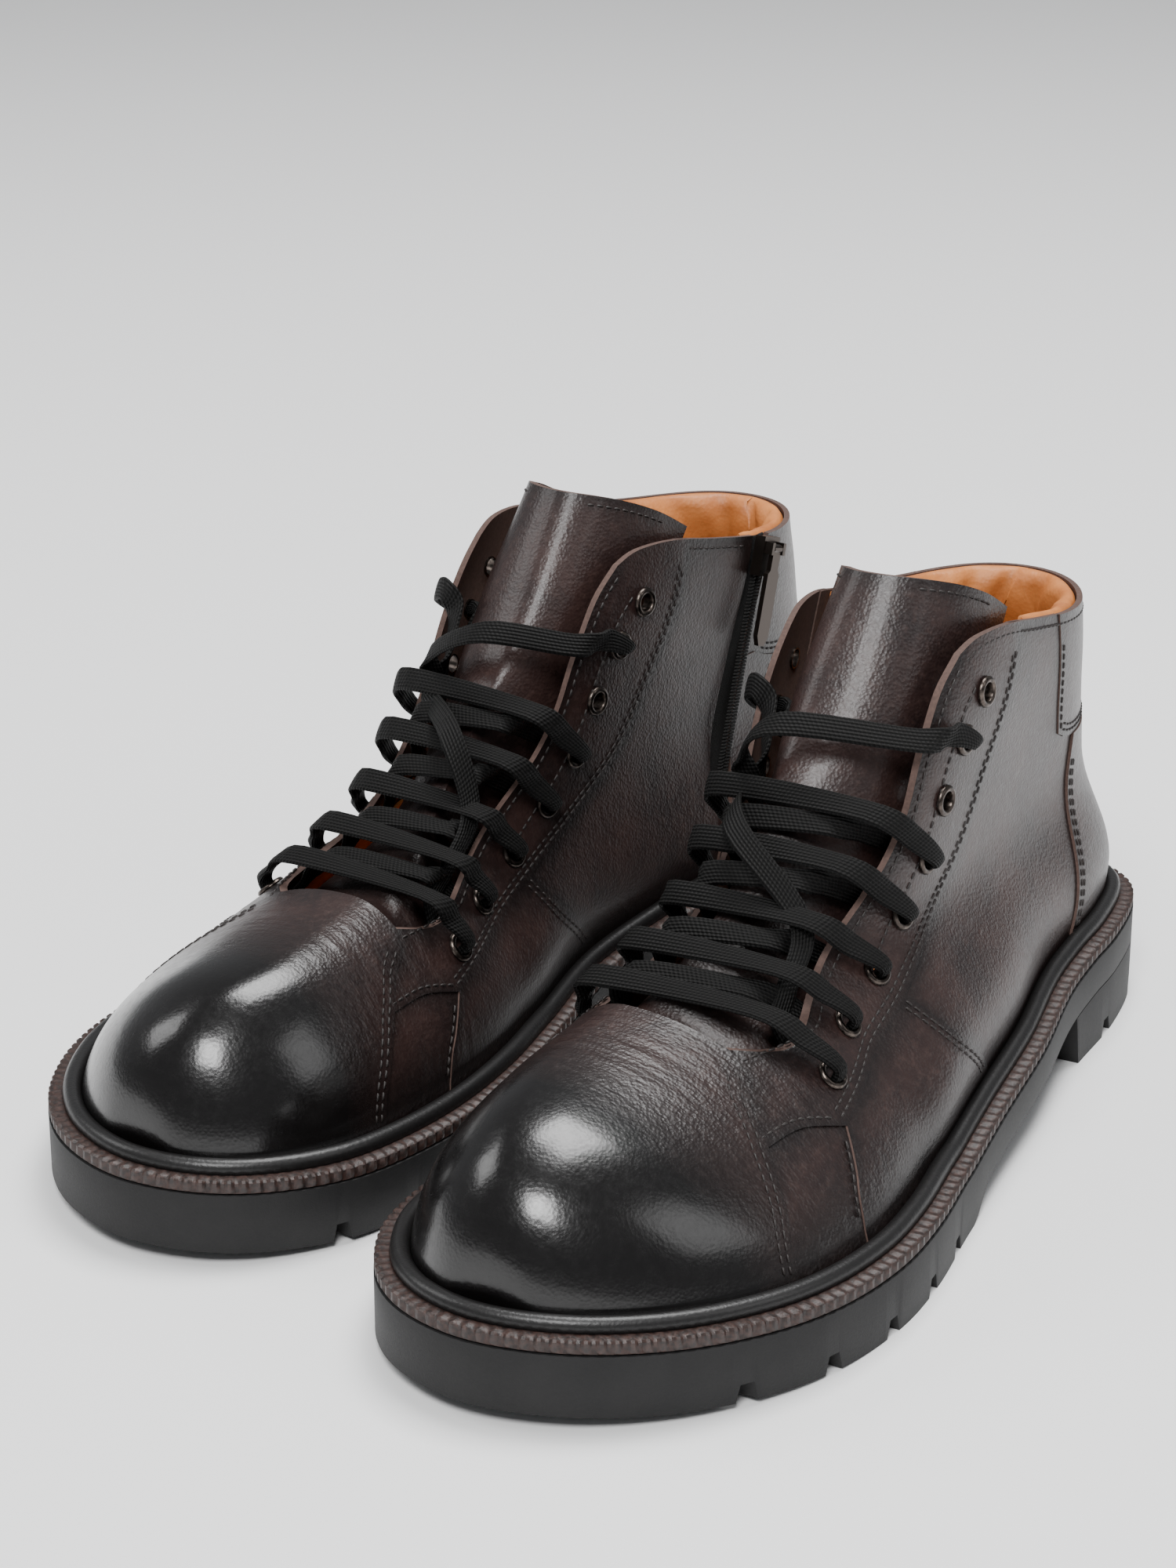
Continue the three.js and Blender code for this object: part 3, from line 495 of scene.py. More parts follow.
# Vamp: one piece of burnished leather pulled over the toe, stiffened inside by the toe puff.
# Every panel of the upper is a thin layer of the same skin, a set depth below it, cut to its
# seams: brown where it is worn, and almost black and glossy at the toe, the heel and the seams.
welt_width, bead_rise = 7.6, 3.2
ridge_line = drawn([
    (293.8, 14), (294, 30), (291.4, 40), (286, 48), (278, 54), (266, 58.6), (245, 61), (220, 64),
    (203, 70), (190, 78), (180, 87), (170, 96.5), (160, 106.5), (150, 118), (140, 131), (130, 144),
    (120, 157), (108, 175), (98, 190),
], False, 8)
vamp_layer = (0, 1.5)

leather = Finish("upper_leather")
station, height = leather.part(leather.where, 1), leather.part(leather.where, 2)
cloud, fine = leather.noise(0.045, 4.0, 0.6), leather.noise(0.5, 5.0, 0.65)
toe = (station + cloud * 26).ramp(243, 272)
foot = (cloud * 16 - height).ramp(-31, -17)
back_part = (cloud * 20 - station).ramp(-34, 6)
seam = leather.attribute("edge", "Fac")
dark = toe.at_least(foot * 0.8).at_least(back_part * 0.55).at_least(seam * 0.75)
brown = leather.mix(cloud.ramp(0.35, 0.68), (0.013, 0.0075, 0.0072, 1), (0.033, 0.017, 0.0148, 1))
brown = leather.mix(fine.ramp(0.5, 0.78) * 0.35, brown, (0.075, 0.042, 0.034, 1))
crease = leather.noise(1.0, 3.0, 0.6, leather.stretched((0.03, 0.24, 0.1)))
flexed = (station - 196).ramp(0, 18) * (262 - station).ramp(0, 22)
grain = (leather.pores(1.15) * 0.3 + fine * 0.4) * (1 - toe * 0.72)
leather.shade(
    Base_Color=leather.mix(dark, brown, (0.0035, 0.003, 0.003, 1)),
    Roughness=(fine * 0.24 + 0.26) - toe * 0.14,
    Specular_IOR_Level=0.4,
    Coat_Roughness=0.14,
    Coat_Weight=toe * 0.2 + 0.1,
)
leather.bump(grain + crease * (flexed * 1.7 + 0.25) * (1 - toe * 0.8), 0.55, 0.0006)

cut_edge = Finish("raw_edge")
fibre = cut_edge.noise(1.2, 4.0)
cut_edge.shade(
    Base_Color=cut_edge.mix(fibre, (0.035, 0.018, 0.014, 1), (0.12, 0.07, 0.055, 1)),
    Roughness=0.8,
)


def ease(t):
    t = np.clip(t, 0, 1)
    return t * t * (3 - 2 * t)


def through(points):
    """A smooth function through (x, y) points, level or sloping as its neighbours are."""
    xs, ys = np.array(points, float).T
    index = np.arange(len(xs))
    before, after = np.maximum(index - 1, 0), np.minimum(index + 1, len(xs) - 1)
    slopes = (ys[after] - ys[before]) / (xs[after] - xs[before])

    def at(x):
        x = np.asarray(x, float)
        i = np.clip(np.searchsorted(xs, x, side="right") - 1, 0, len(xs) - 2)
        width = xs[i + 1] - xs[i]
        t = np.clip((x - xs[i]) / width, 0, 1)
        bend = t * (1 - t) * width
        flat = ys[i] * (1 - ease(t)) + ys[i + 1] * ease(t)
        return flat + bend * ((1 - t) * slopes[i] - t * slopes[i + 1])

    return at


def rising(line, axis):
    line = line[np.argsort(line[:, axis], kind="stable")]
    return line[:, axis], line[:, 1 - axis]


@lru_cache(maxsize=None)
def sides_at(inset):
    """The outer and the inner side of the sole's outline, both from the heel to the toe."""
    line = moved(outline, -inset, True)
    line = np.roll(line, -int(line[:, 0].argmin()), 0)
    tip = int(line[:, 0].argmax())
    return line[: tip + 1], np.vstack([line[tip:], line[:1]])[::-1]


@lru_cache(maxsize=None)
def ridge_at(depth):
    """Height of the boot's upper edge line against s, from the tip of the toe back."""
    line = moved(ridge_line, depth)
    return rising(line[int(line[:, 0].argmax()):], 0)


heel_back = through([
    (10, 7.7), (33, 7.7), (42, 6.3), (60, 8.5), (80, 12.5), (100, 17), (120, 21.5), (145, 20),
])
ridge_offset = through([
    (0, 0), (90, 1), (140, -6), (180, -11), (215, -15), (250, -18), (280, -13.5), (296, -9),
])
ankle_half = through([(20, 33), (45, 28.2), (65, 25.4), (90, 26.5), (115, 28.8), (145, 28.3)])


def half_width(hand, s, z, depth):
    """How far the skin stands from the boot's middle line; hand is 1 outside and -1 inside."""
    s, z = np.broadcast_arrays(np.asarray(s, float), np.asarray(z, float))
    middle = ridge_offset(s)
    rear = heel_back(z) + depth
    edge_line = sides_at(welt_width + depth)[0 if hand > 0 else 1]
    shift = (rear - welt_width - depth) * np.clip((150 - s) / 150, 0, 1)
    foot_half = np.maximum(hand * (np.interp(s - shift, *rising(edge_line, 0)) - middle), 0)
    above = (z - sole_top(s) - 3.2 - bead_rise) / 30
    bulge = 1.5 * np.sin(np.pi * np.clip(above, 0, 1)) * np.clip(foot_half / 12, 0, 1)
    roundness = np.maximum(1 - (1 - np.clip((s - rear) / 46, 0, 1)) ** 2.1, 0)
    ankle = np.maximum(ankle_half(z) - depth - hand * middle, 0) * roundness ** (1 / 2.1)
    blend = ease((z - 28) / 44) * ease((215 - s) / 60)
    wide = (foot_half + bulge) * (1 - blend) + ankle * blend
    feather = sole_top(s) + 2
    ridge = np.interp(s, *ridge_at(depth))
    share = np.clip((z - feather) / (ridge - feather), 0, 1)
    power = 1.22 + 3.78 * ease((185 - s) / 60)
    return wide * np.sqrt(np.maximum(1 - share**power, 0))


def layer_width(hand, s, z, depth):
    if depth == 0:
        return half_width(hand, s, z, 0)
    forward = half_width(hand, s + 1, z, 0) - half_width(hand, s - 1, z, 0)
    upward = half_width(hand, s, z + 1, 0) - half_width(hand, s, z - 1, 0)
    stretch = np.minimum(np.sqrt(1 + (forward / 2) ** 2 + (upward / 2) ** 2), 4)
    inner = half_width(hand, s, z, 0) - depth * stretch
    return np.maximum(np.minimum(inner, half_width(hand, s, z, depth)), 0)


def skin(hand, s, z, depth=0):
    return place(ridge_offset(s) + hand * layer_width(hand, s, z, depth), s, z)


def skin_normal(hand, s, z):
    forward = skin(hand, s + 1, z) - skin(hand, s - 1, z)
    upward = skin(hand, s, z + 1) - skin(hand, s, z - 1)
    across = np.cross(forward, upward)
    across /= np.maximum(np.linalg.norm(across, axis=-1, keepdims=True), 1e-9)
    return across * np.where(across[..., :1] * hand > 0, 1, -1)


steps_round = 90
heights = np.concatenate([np.arange(14, 44, 2.0), np.arange(44, 72, 0.7), np.arange(72, 156, 2.2)])
overlap = 4


@lru_cache(maxsize=None)
def body_at(depth):
    """The whole boot as a closed body, a depth below its skin; inner ones run past the outer one."""
    front_s, front_z = moved(ridge_line, depth).T
    turn = np.arange(steps_round * 2) / steps_round * np.pi
    levels = heights.copy()
    if depth > 0:
        levels[0] -= overlap
    rings = []
    for z in levels:
        rear = heel_back(z) + depth
        front = np.interp(z, front_z, front_s)
        s = rear + (front - rear) * (1 - np.cos(turn)) / 2
        points = np.where((turn <= np.pi)[:, None], skin(-1, s, z, depth), skin(1, s, z, depth))
        points[[0, steps_round], 0] = ridge_offset(s[[0, steps_round]])
        rings.append(points)
    if depth > 0:
        rings[-1] = rings[-1] + np.array([0, 0, overlap])
    return ring_body(rings)


def shell(layer, *steps):
    outer, inner = layer
    return cut(body_at(outer), ("DIFFERENCE", body_at(inner)), *steps)


def seam_line(points):
    return drawn(points, False, 5)


def joined(*lines):
    return np.vstack([np.array(line, float) for line in lines])


def layer_prism(low, high):
    stations = np.linspace(-20, 320, 60)
    bottom = np.stack([stations, sole_top(stations) + low], 1)
    top = np.stack([stations, sole_top(stations) + high], 1)
    return side_prism(np.vstack([bottom, top[::-1]]))


def seam_shade(points, lines):
    """1 at a seam, fading to 0 at 5 mm from it."""
    flat = np.stack([sole_length / 2 - points[:, 1], points[:, 2]], 1)
    near = np.full(len(flat), 1e9)
    for line in lines:
        for a, b in zip(line[:-1], line[1:]):
            run = b - a
            t = np.clip(((flat - a) @ run) / max(run @ run, 1e-9), 0, 1)
            near = np.minimum(near, np.linalg.norm(flat - a - t[:, None] * run, axis=1))
    return np.clip(1 - near / 5, 0, 1)


@lru_cache(maxsize=None)
def skin_tree(depth):
    mesh = body_at(depth)
    return BVHTree.FromPolygons([v.co for v in mesh.vertices], [tuple(p.vertices) for p in mesh.polygons])


def burnished(mesh, layer, seams):
    """Leather on the face of a panel and raw fibre on its cut edges and back."""
    dressed(mesh, leather, cut_edge)
    surface = skin_tree(layer[0])
    for face in mesh.polygons:
        _, facing, _, gap = surface.find_nearest(face.center)
        on_face = gap < 0.5 and abs(facing @ face.normal) > 0.7
        face.material_index = 0 if on_face else 1
    fade = mesh.attributes.new("edge", "FLOAT", "POINT")
    fade.data.foreach_set("value", seam_shade(vertices_of(mesh), seams).astype(np.float32))
    return mesh


vamp_edge = seam_line([(250, 8), (247, 25), (242, 34), (236, 42), (234, 44), (228, 50), (219, 58), (212, 90)])
facing_edge = seam_line([
    (219, 58), (205, 55.5), (189, 61.5), (171.5, 71), (157.5, 80.5), (147.5, 92), (140, 106), (131, 119),
    (122, 126.5),
])
topline = seam_line([
    (122, 126.5), (114, 129), (100, 128.5), (82, 124.5), (62, 120.5), (42, 118), (15, 117.4), (-10, 117.4),
])
above_welt = ("INTERSECT", layer_prism(3.5, 160))
sky = ("DIFFERENCE", side_prism(joined(topline, [(-10, 200), (122, 200)])))
throat = ("DIFFERENCE", side_prism(joined(facing_edge, [(122, 200), (344, 200), (344, 75), (222, 75)])))


def panel(layer, points, reach=(-90, 90), cuts=()):
    return shell(layer, ("INTERSECT", side_prism(points, *reach)), above_welt, sky, throat, *cuts)


vamp = panel(vamp_layer, joined(vamp_edge, [(344, 90), (344, 8)]))
both(burnished(vamp, vamp_layer, [vamp_edge]), "leather_vamp", ["vamp", "toe_puff"], "upper_leather")


# Wings: a narrow curved panel on each side, tucked under the vamp below the foot of the eyestay.
# They are cut from the same leather, and the vamp's double row of stitches closes their front.
wing_layer, tuck = (0.75, 2.0), 6
sides = {"lateral": (1, (-4, 90)), "medial": (-1, (-90, -5))}
stay_foot = seam_line([(234, 44), (221, 44), (209, 40.6)])
wing_seam = seam_line([(209, 40.6), (215, 33), (220, 26), (226, 8)])
wing = joined(wing_seam[::-1], [(209, 46), (240, 48)], moved(vamp_edge, -tuck)[:15][::-1])
for side, (hand, reach) in sides.items():
    made = burnished(panel(wing_layer, wing, reach), wing_layer, [vamp_edge, stay_foot, wing_seam])
    both(made, f"{side}_leather_wing", [f"{side}_wing"], "upper_leather")


# Eyestays: the panel on each side that carries the row of eight eyelets, from vamp to topline.
# It lies on the quarters, and each eyelet's hole is punched square through it.
stay_layer = (0.3, 1.7)
eyelets = [
    (202, 49), (185.5, 54.5), (168, 61), (152.5, 69.5), (141, 80), (133, 92.5), (124, 105.5), (114, 115),
]
hole_radius, hole_ends = 2.7, (-6, 4)
stay_rear = seam_line([
    (209, 40.6), (191, 45), (168, 52.5), (142, 63), (122, 75.5), (108, 95), (98, 113), (91, 135),
])
stay = joined(stay_foot, stay_rear[1:], [(91, 200), (344, 200)], moved(vamp_edge, -tuck)[25:][::-1])


def circle(centre, normal, radius, height, count):
    """Points of a circle round a line that stands on the leather."""
    turn = Vector(normal).to_track_quat("Z", "Y").to_matrix()
    angles = np.arange(count) / count * 2 * math.pi
    rim_points = [Vector((radius * math.cos(a), radius * math.sin(a), height)) for a in angles]
    return [centre + np.array(turn @ point) for point in rim_points]


def punched(hand, s, z):
    centre, normal = skin(hand, s, z), skin_normal(hand, s, z)
    return ("DIFFERENCE", ring_body([circle(centre, normal, hole_radius, h, 20) for h in hole_ends]))


for side, (hand, reach) in sides.items():
    holes = [punched(hand, s, z) for s, z in eyelets]
    stay_seams = [vamp_edge, stay_foot, stay_rear, facing_edge]
    made = burnished(panel(stay_layer, stay, reach, holes), stay_layer, stay_seams)
    both(made, f"{side}_leather_eyestay", [f"{side}_eyestay"], "upper_leather")


# Front quarters: a panel on each side that fills the low space between the wing and the side seam.
# Its upper edge is tucked under the eyestay.
front_layer = (0.35, 1.7)
side_seam = seam_line([(164, 54.5), (154, 42), (136, 25), (126, 8)])
front_quarter = joined(wing_seam, side_seam[::-1], [(160, 62), (209, 50)])
for side, (hand, reach) in sides.items():
    made = burnished(panel(front_layer, front_quarter, reach), front_layer, [wing_seam, side_seam, stay_rear])
    both(made, f"{side}_leather_front_quarter", [f"{side}_front_quarter"], "upper_leather")


# Quarters: the large panels round the ankle. The outer one meets the heel cover at a seam, and
# the inner one ends at the zip, whose slot is cut out of its rear edge.
quarter_layer = (0.75, 2.1)
heel_seam = seam_line([(68, 8), (62, 30), (53, 55), (47, 82)])
collar_front = seam_line([(60, 86), (67, 115), (70, 135)])
zip_line = np.array([(54.4, 139), (80, 48)], float)
zip_foot = seam_line([(80, 48), (82, 30), (84, 8)])
zip_strip = np.vstack([moved(zip_line, 4), moved(zip_line, -4)[::-1]])
zip_slot = ("DIFFERENCE", side_prism(zip_strip, *sides["medial"][1]))
quarter_rears = {
    "lateral": [(70, 200), (70, 135), *collar_front[::-1][1:], (56, 84), *heel_seam[::-1]],
    "medial": [(40, 200), *zip_line, *zip_foot[1:]],
}
for side, (hand, reach) in sides.items():
    tucked = moved(stay_rear, -tuck)[15:]
    quarter = joined(moved(side_seam, 2)[::-1], [(168, 56)], tucked, [(86, 200)], quarter_rears[side])
    solid = panel(quarter_layer, quarter, reach, [zip_slot] if side == "medial" else [])
    made = burnished(solid, quarter_layer, [side_seam, stay_rear, topline, heel_seam, collar_front])
    both(made, f"{side}_leather_quarter", [f"{side}_quarter"], "upper_leather")


# Heel cover and rear collar: two panels round the back, the low one stiffened by the heel counter.
# Each is made as an outer and an inner half, which meet on the boot's middle line.
cover_layer, collar_layer = (0.0, 1.4), (0.35, 1.75)
outer_half, inner_half = (0, 90), (-90, 0)
collar_foot = seam_line([(-10, 80), (10, 80), (47, 82), (60, 86)])
below_collar = [(-20, 8), (-20, 83)]
above_collar = [(-20, 200), (-20, 80)]
cover_outer = joined(below_collar, collar_foot[1:11], heel_seam[::-1])
cover_inner = joined(below_collar, collar_foot[1:], [(69.3, 86), (78, 52)], zip_foot)
collar_outer = joined(collar_foot, collar_front[1:], above_collar)
collar_inner = joined(collar_foot, [(69.3, 86), (54.4, 139)], above_collar)
for name, points, reach, layer, nodes in (
    ("heel_cover_lateral", cover_outer, outer_half, cover_layer, ["heel_cover"]),
    ("heel_cover_medial", cover_inner, inner_half, cover_layer, []),
    ("rear_collar_lateral", collar_outer, outer_half, collar_layer, ["rear_collar", "heel_counter"]),
    ("rear_collar_medial", collar_inner, inner_half, collar_layer, []),
):
    solid = shell(layer, ("INTERSECT", side_prism(points, *reach)), above_welt, sky, zip_slot)
    made = burnished(solid, layer, [heel_seam, collar_foot, collar_front, topline])
    both(made, f"leather_{name}", nodes, "upper_leather")


# Lining: thin tan leather inside the upper, cut away under the tongue and behind the collar.
# It stops just short of the topline, so that the cut edge of the upper shows above it.
lining_layer = (2.3, 3.3)
lining_leather = Finish("lining_leather")
cloud = lining_leather.noise(0.06, 4.0, 0.6)
fold = lining_leather.noise(1.0, 3.0, where=lining_leather.stretched((0.12, 0.12, 0.04)))
lining_leather.shade(
    Base_Color=lining_leather.mix(cloud.ramp(0.3, 0.7), (0.4, 0.12, 0.025, 1), (0.62, 0.23, 0.06, 1)),
    Roughness=cloud * 0.25 + 0.4,
)
lining_leather.bump(lining_leather.pores(0.9) * 0.12 + fold * 1.2, 0.5, 0.0012)
under_tongue = joined(
    [(236, 100), (233, 60), (233, 46)], stay_foot[5:], stay_rear[1:], [(91, 200), (344, 200)],
)
over_lining = joined(topline - [0, 0.6], [(-10, 200), (122, 200)])
pad_room = joined(topline[topline[:, 0] < 76] - [0, 20], [(-20, 200), (74, 200)])
facing_area = ("DIFFERENCE", side_prism(under_tongue))
low_top = ("DIFFERENCE", side_prism(over_lining))
pad_space = ("DIFFERENCE", side_prism(pad_room))
lining = shell(lining_layer, above_welt, low_top, facing_area, pad_space)
both(dressed(lining, lining_leather), "leather_lining", ["lining", "heel_counter"], "lining_leather")

# Footbed: a flat sheet of the same tan leather, laid loose on the insole board.
# It fills the boot from side to side.
footbed = cut(body_at(3.4), ("INTERSECT", layer_prism(3.4, 9)))
both(dressed(footbed, lining_leather), "leather_footbed", ["footbed"], "lining_leather")

# Collar: a soft roll of padded tan leather inside the top edge, from the zip round to the side.
# It stands just above the upper's edge, and shallow folds ripple it.
collar_section = [  # depth below the skin, drop below the topline
    (2.2, 26), (2.2, 14), (2.2, 3), (2.4, 0.8), (3.2, -0.5), (4.6, -0.9), (6.2, -0.2), (7.6, 2),
    (8.6, 6), (8.8, 11), (8.0, 16), (6.6, 21), (4.6, 26),
]
collar_reach = {1: 66, -1: 46}
collar_skin = 2.2
collar_rows = []
for depth, drop in collar_section:
    row = []
    for turn in np.linspace(-1, 1, 90):
        hand = 1 if turn >= 0 else -1
        forward = collar_reach[hand] * (1 - math.cos(turn * math.pi / 2))
        z_top = np.interp(heel_back(110) + forward, *rising(topline, 0))
        z = z_top - drop
        s = heel_back(z_top) + forward + 0.05
        ripple = math.sin(turn * 23 + drop * 0.35) * min(max(depth - 3, 0) / 4, 1)
        normal = skin_normal(hand, s + 1.2, min(z, 118))
        end = min(1.0, (1 - abs(turn)) * 14)
        inner = collar_skin + (depth - collar_skin + ripple) * (0.25 + 0.75 * end)
        row.append(skin(hand, s, z) - normal * inner)
    collar_rows.append(row)
collar_rows = np.array(collar_rows)
profile, steps = collar_rows.shape[:2]
collar_faces = [
    (k * steps + i, k * steps + i + 1, (k + 1) % profile * steps + i + 1, (k + 1) % profile * steps + i)
    for k in range(profile) for i in range(steps - 1)
]
collar_faces += [tuple(k * steps + i for k in range(profile)) for i in (0, steps - 1)]
collar = dressed(closed_right(mesh_of(collar_rows.reshape(-1, 3), collar_faces)), lining_leather)
both(collar, "soft_collar", ["padded_collar"], "lining_leather", smooth=60)


# Tongue: one wide, convex piece of the upper's leather that lies under both facings.
# Its lower end is sewn in under the vamp.
tongue_layer = (8.0, 10.2)
tongue_rear = seam_line([
    (231, 46), (206, 43), (188, 47.5), (164, 55), (140, 65), (119, 78), (105, 97), (94, 115), (84, 127),
])
tongue_end = seam_line([(84, 127), (96, 134), (110, 140), (124, 143.5), (140, 145)])
tongue_area = joined(tongue_rear, tongue_end[1:], [(344, 145), (344, 46)])
before_vamp = ("DIFFERENCE", side_prism([(236, 8), (236, 100), (344, 100), (344, 8)]))
tongue = shell(tongue_layer, ("INTERSECT", side_prism(tongue_area)), before_vamp)
tongue = burnished(tongue, tongue_layer, [tongue_end])
for boot in stands:
    made = stand(boot, tongue, "leather_tongue", ["tongue_lower", "tongue_upper"], "upper_leather")
    made.parent = None
    low, high = to_metres(boot) @ Vector((0, 40, 84)), to_metres(boot) @ Vector((0, 44, 98))
    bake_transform(made)
    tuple(low)
    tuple(high)


# Stitching: dark thread in short, rounded stitches, laid in rows beside the seams.
# Most seams have two rows; the rows on the tongue's top move with it.
thread = Finish("thread")
twist = thread.noise(2.5, 2.0)
thread.shade(Base_Color=thread.mix(twist, (0.004, 0.003, 0.003, 1), (0.02, 0.013, 0.011, 1)), Roughness=0.55)
stitch_pitch, stitch_radius, stitch_share = 2.7, 0.34, 0.78


def capsule(a, b, normal, radius, count=5):
    """A short rounded thread from a to b, whose ends dip into what it lies on."""
    along = (b - a) / max(np.linalg.norm(b - a), 1e-9)
    wide = np.cross(along, normal)
    wide /= max(np.linalg.norm(wide), 1e-9)
    points, faces = [], []
    for t, size in ((0, 0.45), (0.18, 1), (0.82, 1), (1, 0.45)):
        centre = a + (b - a) * t - normal * (0.25 if t in (0, 1) else 0)
        for k in range(count):
            angle = 2 * math.pi * k / count
            points.append(centre + radius * size * (wide * math.cos(angle) + normal * math.sin(angle)))
    for ring in range(3):
        for k in range(count):
            n = (k + 1) % count
            faces.append((ring * count + k, ring * count + n, (ring + 1) * count + n, (ring + 1) * count + k))
    return points, faces


def gathered(pieces):
    """One mesh of many small bodies, each given as its points and faces."""
    points, faces = [], []
    for more, its_faces in pieces:
        faces += [tuple(i + len(points) for i in face) for face in its_faces]
        points += more
    return mesh_of(points, faces)


def stitch_row(line, offset, hand, depth, low, high):
    line = moved(line, offset)
    line = line[(line[:, 1] > low) & (line[:, 1] < high)]
    if len(line) < 2:
        return
    shares = np.tile(np.arange(8) / 8, len(line) - 1)[:, None]
    fine = np.repeat(line[:-1], 8, 0) + np.repeat(np.diff(line, axis=0), 8, 0) * shares
    rear = heel_back(fine[:, 1])
    on_leather = (fine[:, 0] > rear + 0.05) & (layer_width(hand, fine[:, 0], fine[:, 1], 0) > 1.2)
    fine = fine[on_leather]
    normals = skin_normal(hand, np.maximum(fine[:, 0], rear[on_leather] + 1.2), fine[:, 1])
    places = skin(hand, fine[:, 0], fine[:, 1], depth) + normals * 0.05
    run = np.concatenate([[0], np.cumsum(np.linalg.norm(np.diff(places, axis=0), axis=1))])
    for start in np.arange(0.6, run[-1] - stitch_pitch, stitch_pitch):
        ends = [start, start + stitch_pitch * stitch_share]
        a, b = np.stack([np.interp(ends, run, places[:, k]) for k in range(3)], 1)
        normal = normals[min(int(np.searchsorted(run, start)), len(normals) - 1)]
        yield capsule(a, b, normal, stitch_radius)


def stitches(rows):
    return dressed(gathered(stitch for row in rows for stitch in stitch_row(*row)), thread)


seam_rows = []  # line, offset, hand, depth, lowest and highest z
for hand in (1, -1):
    seam_rows += [
        (vamp_edge, -1.6, hand, 0, 22, 56), (vamp_edge, -3.4, hand, 0, 22, 56),
        (facing_edge, 2.0, hand, 0.3, 56, 125), (facing_edge, 9.6, hand, 0.3, 60, 122),
        (stay_rear, -1.7, hand, 0.3, 41, 124), (stay_rear, -3.2, hand, 0.3, 41, 124),
        (stay_foot, -1.6, hand, 0.3, 30, 60), (wing_seam, 1.6, hand, 0.35, 23, 40),
        (side_seam, 1.7, hand, 0.35, 24, 54), (side_seam, 3.4, hand, 0.35, 24, 54),
        (collar_foot, 1.6, hand, 0.35, 60, 120), (collar_foot, 3.2, hand, 0.35, 60, 120),
    ]
seam_rows += [
    (heel_seam, 1.6, 1, 0, 28, 80), (heel_seam, 3.3, 1, 0, 28, 80),
    (collar_front, 1.7, 1, 0.35, 86, 118), (topline[topline[:, 0] > 8], 2.6, 1, 0.5, 100, 130),
    (topline[topline[:, 0] > 66], 2.6, -1, 0.75, 100, 130),
    (zip_line, 6.0, -1, 0.75, 52, 118), (zip_line, -6.0, -1, 0.35, 52, 116),
]
tongue_top = tongue_end[(tongue_end[:, 0] > 92) & (tongue_end[:, 0] < 121)]
tongue_rows = [(tongue_top, -2.4, hand, tongue_layer[0], 100, 145) for hand in (1, -1)]
both(stitches(seam_rows), "seam_stitching", [], "cord", smooth=180)
both(stitches(tongue_rows), "tongue_stitching", [], "cord", body="tongue_top", smooth=180)


# Eyelets: rolled rings of dark, worn metal with a barrel through the leather, eight on each facing.
# Each row of eight is one piece, as it is in the frame.
gunmetal = Finish("dark_metal")
wear = gunmetal.noise(0.7, 4.0)
gunmetal.shade(
    Base_Color=gunmetal.mix(wear.ramp(0.45, 0.75), (0.055, 0.045, 0.04, 1), (0.17, 0.14, 0.12, 1)),
    Metallic=1,
    Roughness=wear * 0.25 + 0.2,
)
ring_profile = [  # radius, height above the leather
    (2.35, -2.4), (2.35, 0.5), (2.6, 0.85), (3.1, 1.0), (3.6, 0.85), (3.95, 0.4), (4.0, 0.05),
    (2.7, -0.1), (2.7, -2.4),
]


def rolled_ring(hand, s, z, count=28):
    centre, normal = skin(hand, s, z), skin_normal(hand, s, z)
    rounds = [circle(centre, normal, radius, height, count) for radius, height in ring_profile]
    points = [point for round_points in rounds for point in round_points]
    faces = []
    for k in range(len(ring_profile)):
        for i in range(count):
            j, n = (i + 1) % count, (k + 1) % len(ring_profile)
            faces.append((k * count + i, k * count + j, n * count + j, n * count + i))
    return points, faces


for side, (hand, _) in sides.items():
    rings = dressed(closed_right(gathered(rolled_ring(hand, s, z) for s, z in eyelets)), gunmetal)
    both(rings, f"{side}_eyelet_rings", [f"{side}_eyelets"], "gunmetal", smooth=60)


# Laces: one flat, ribbed woven cord in each boot, in five straight bars with a cross above them.
# The sixth and eighth eyelets are left empty, and both ends go in at the seventh.
ribbed_lace = Finish("ribbed_lace")
strand = ribbed_lace.attribute("strand", "Vector")
across, along = ribbed_lace.part(strand, 0), ribbed_lace.part(strand, 1)
rib = (across * (2 * math.pi * 3.5)).sine() * 0.5 + (along * 5.5 + across * 9).sine() * 0.22
ribbed_lace.shade(
    Base_Color=ribbed_lace.mix(rib.ramp(-0.5, 0.7), (0.0015, 0.0015, 0.0015, 1), (0.012, 0.0115, 0.011, 1)),
    Roughness=0.62,
    Specular_IOR_Level=0.15,
)
ribbed_lace.bump(rib, 0.7, 0.0005)

lace_half_width, lace_half_thickness = 3.1, 0.75
pinched_half_width, pinched_half_thickness = 2.0, 1.25
lace_sides, lace_steps = 16, 6
row_s = through([(i + 1, s) for i, (s, _) in enumerate(eyelets)])
row_z = through([(i + 1, z) for i, (_, z) in enumerate(eyelets)])
instep_s = through([(i + 1, s) for i, s in enumerate([211, 199, 186.5, 174.5, 164, 155, 146.5, 138])])

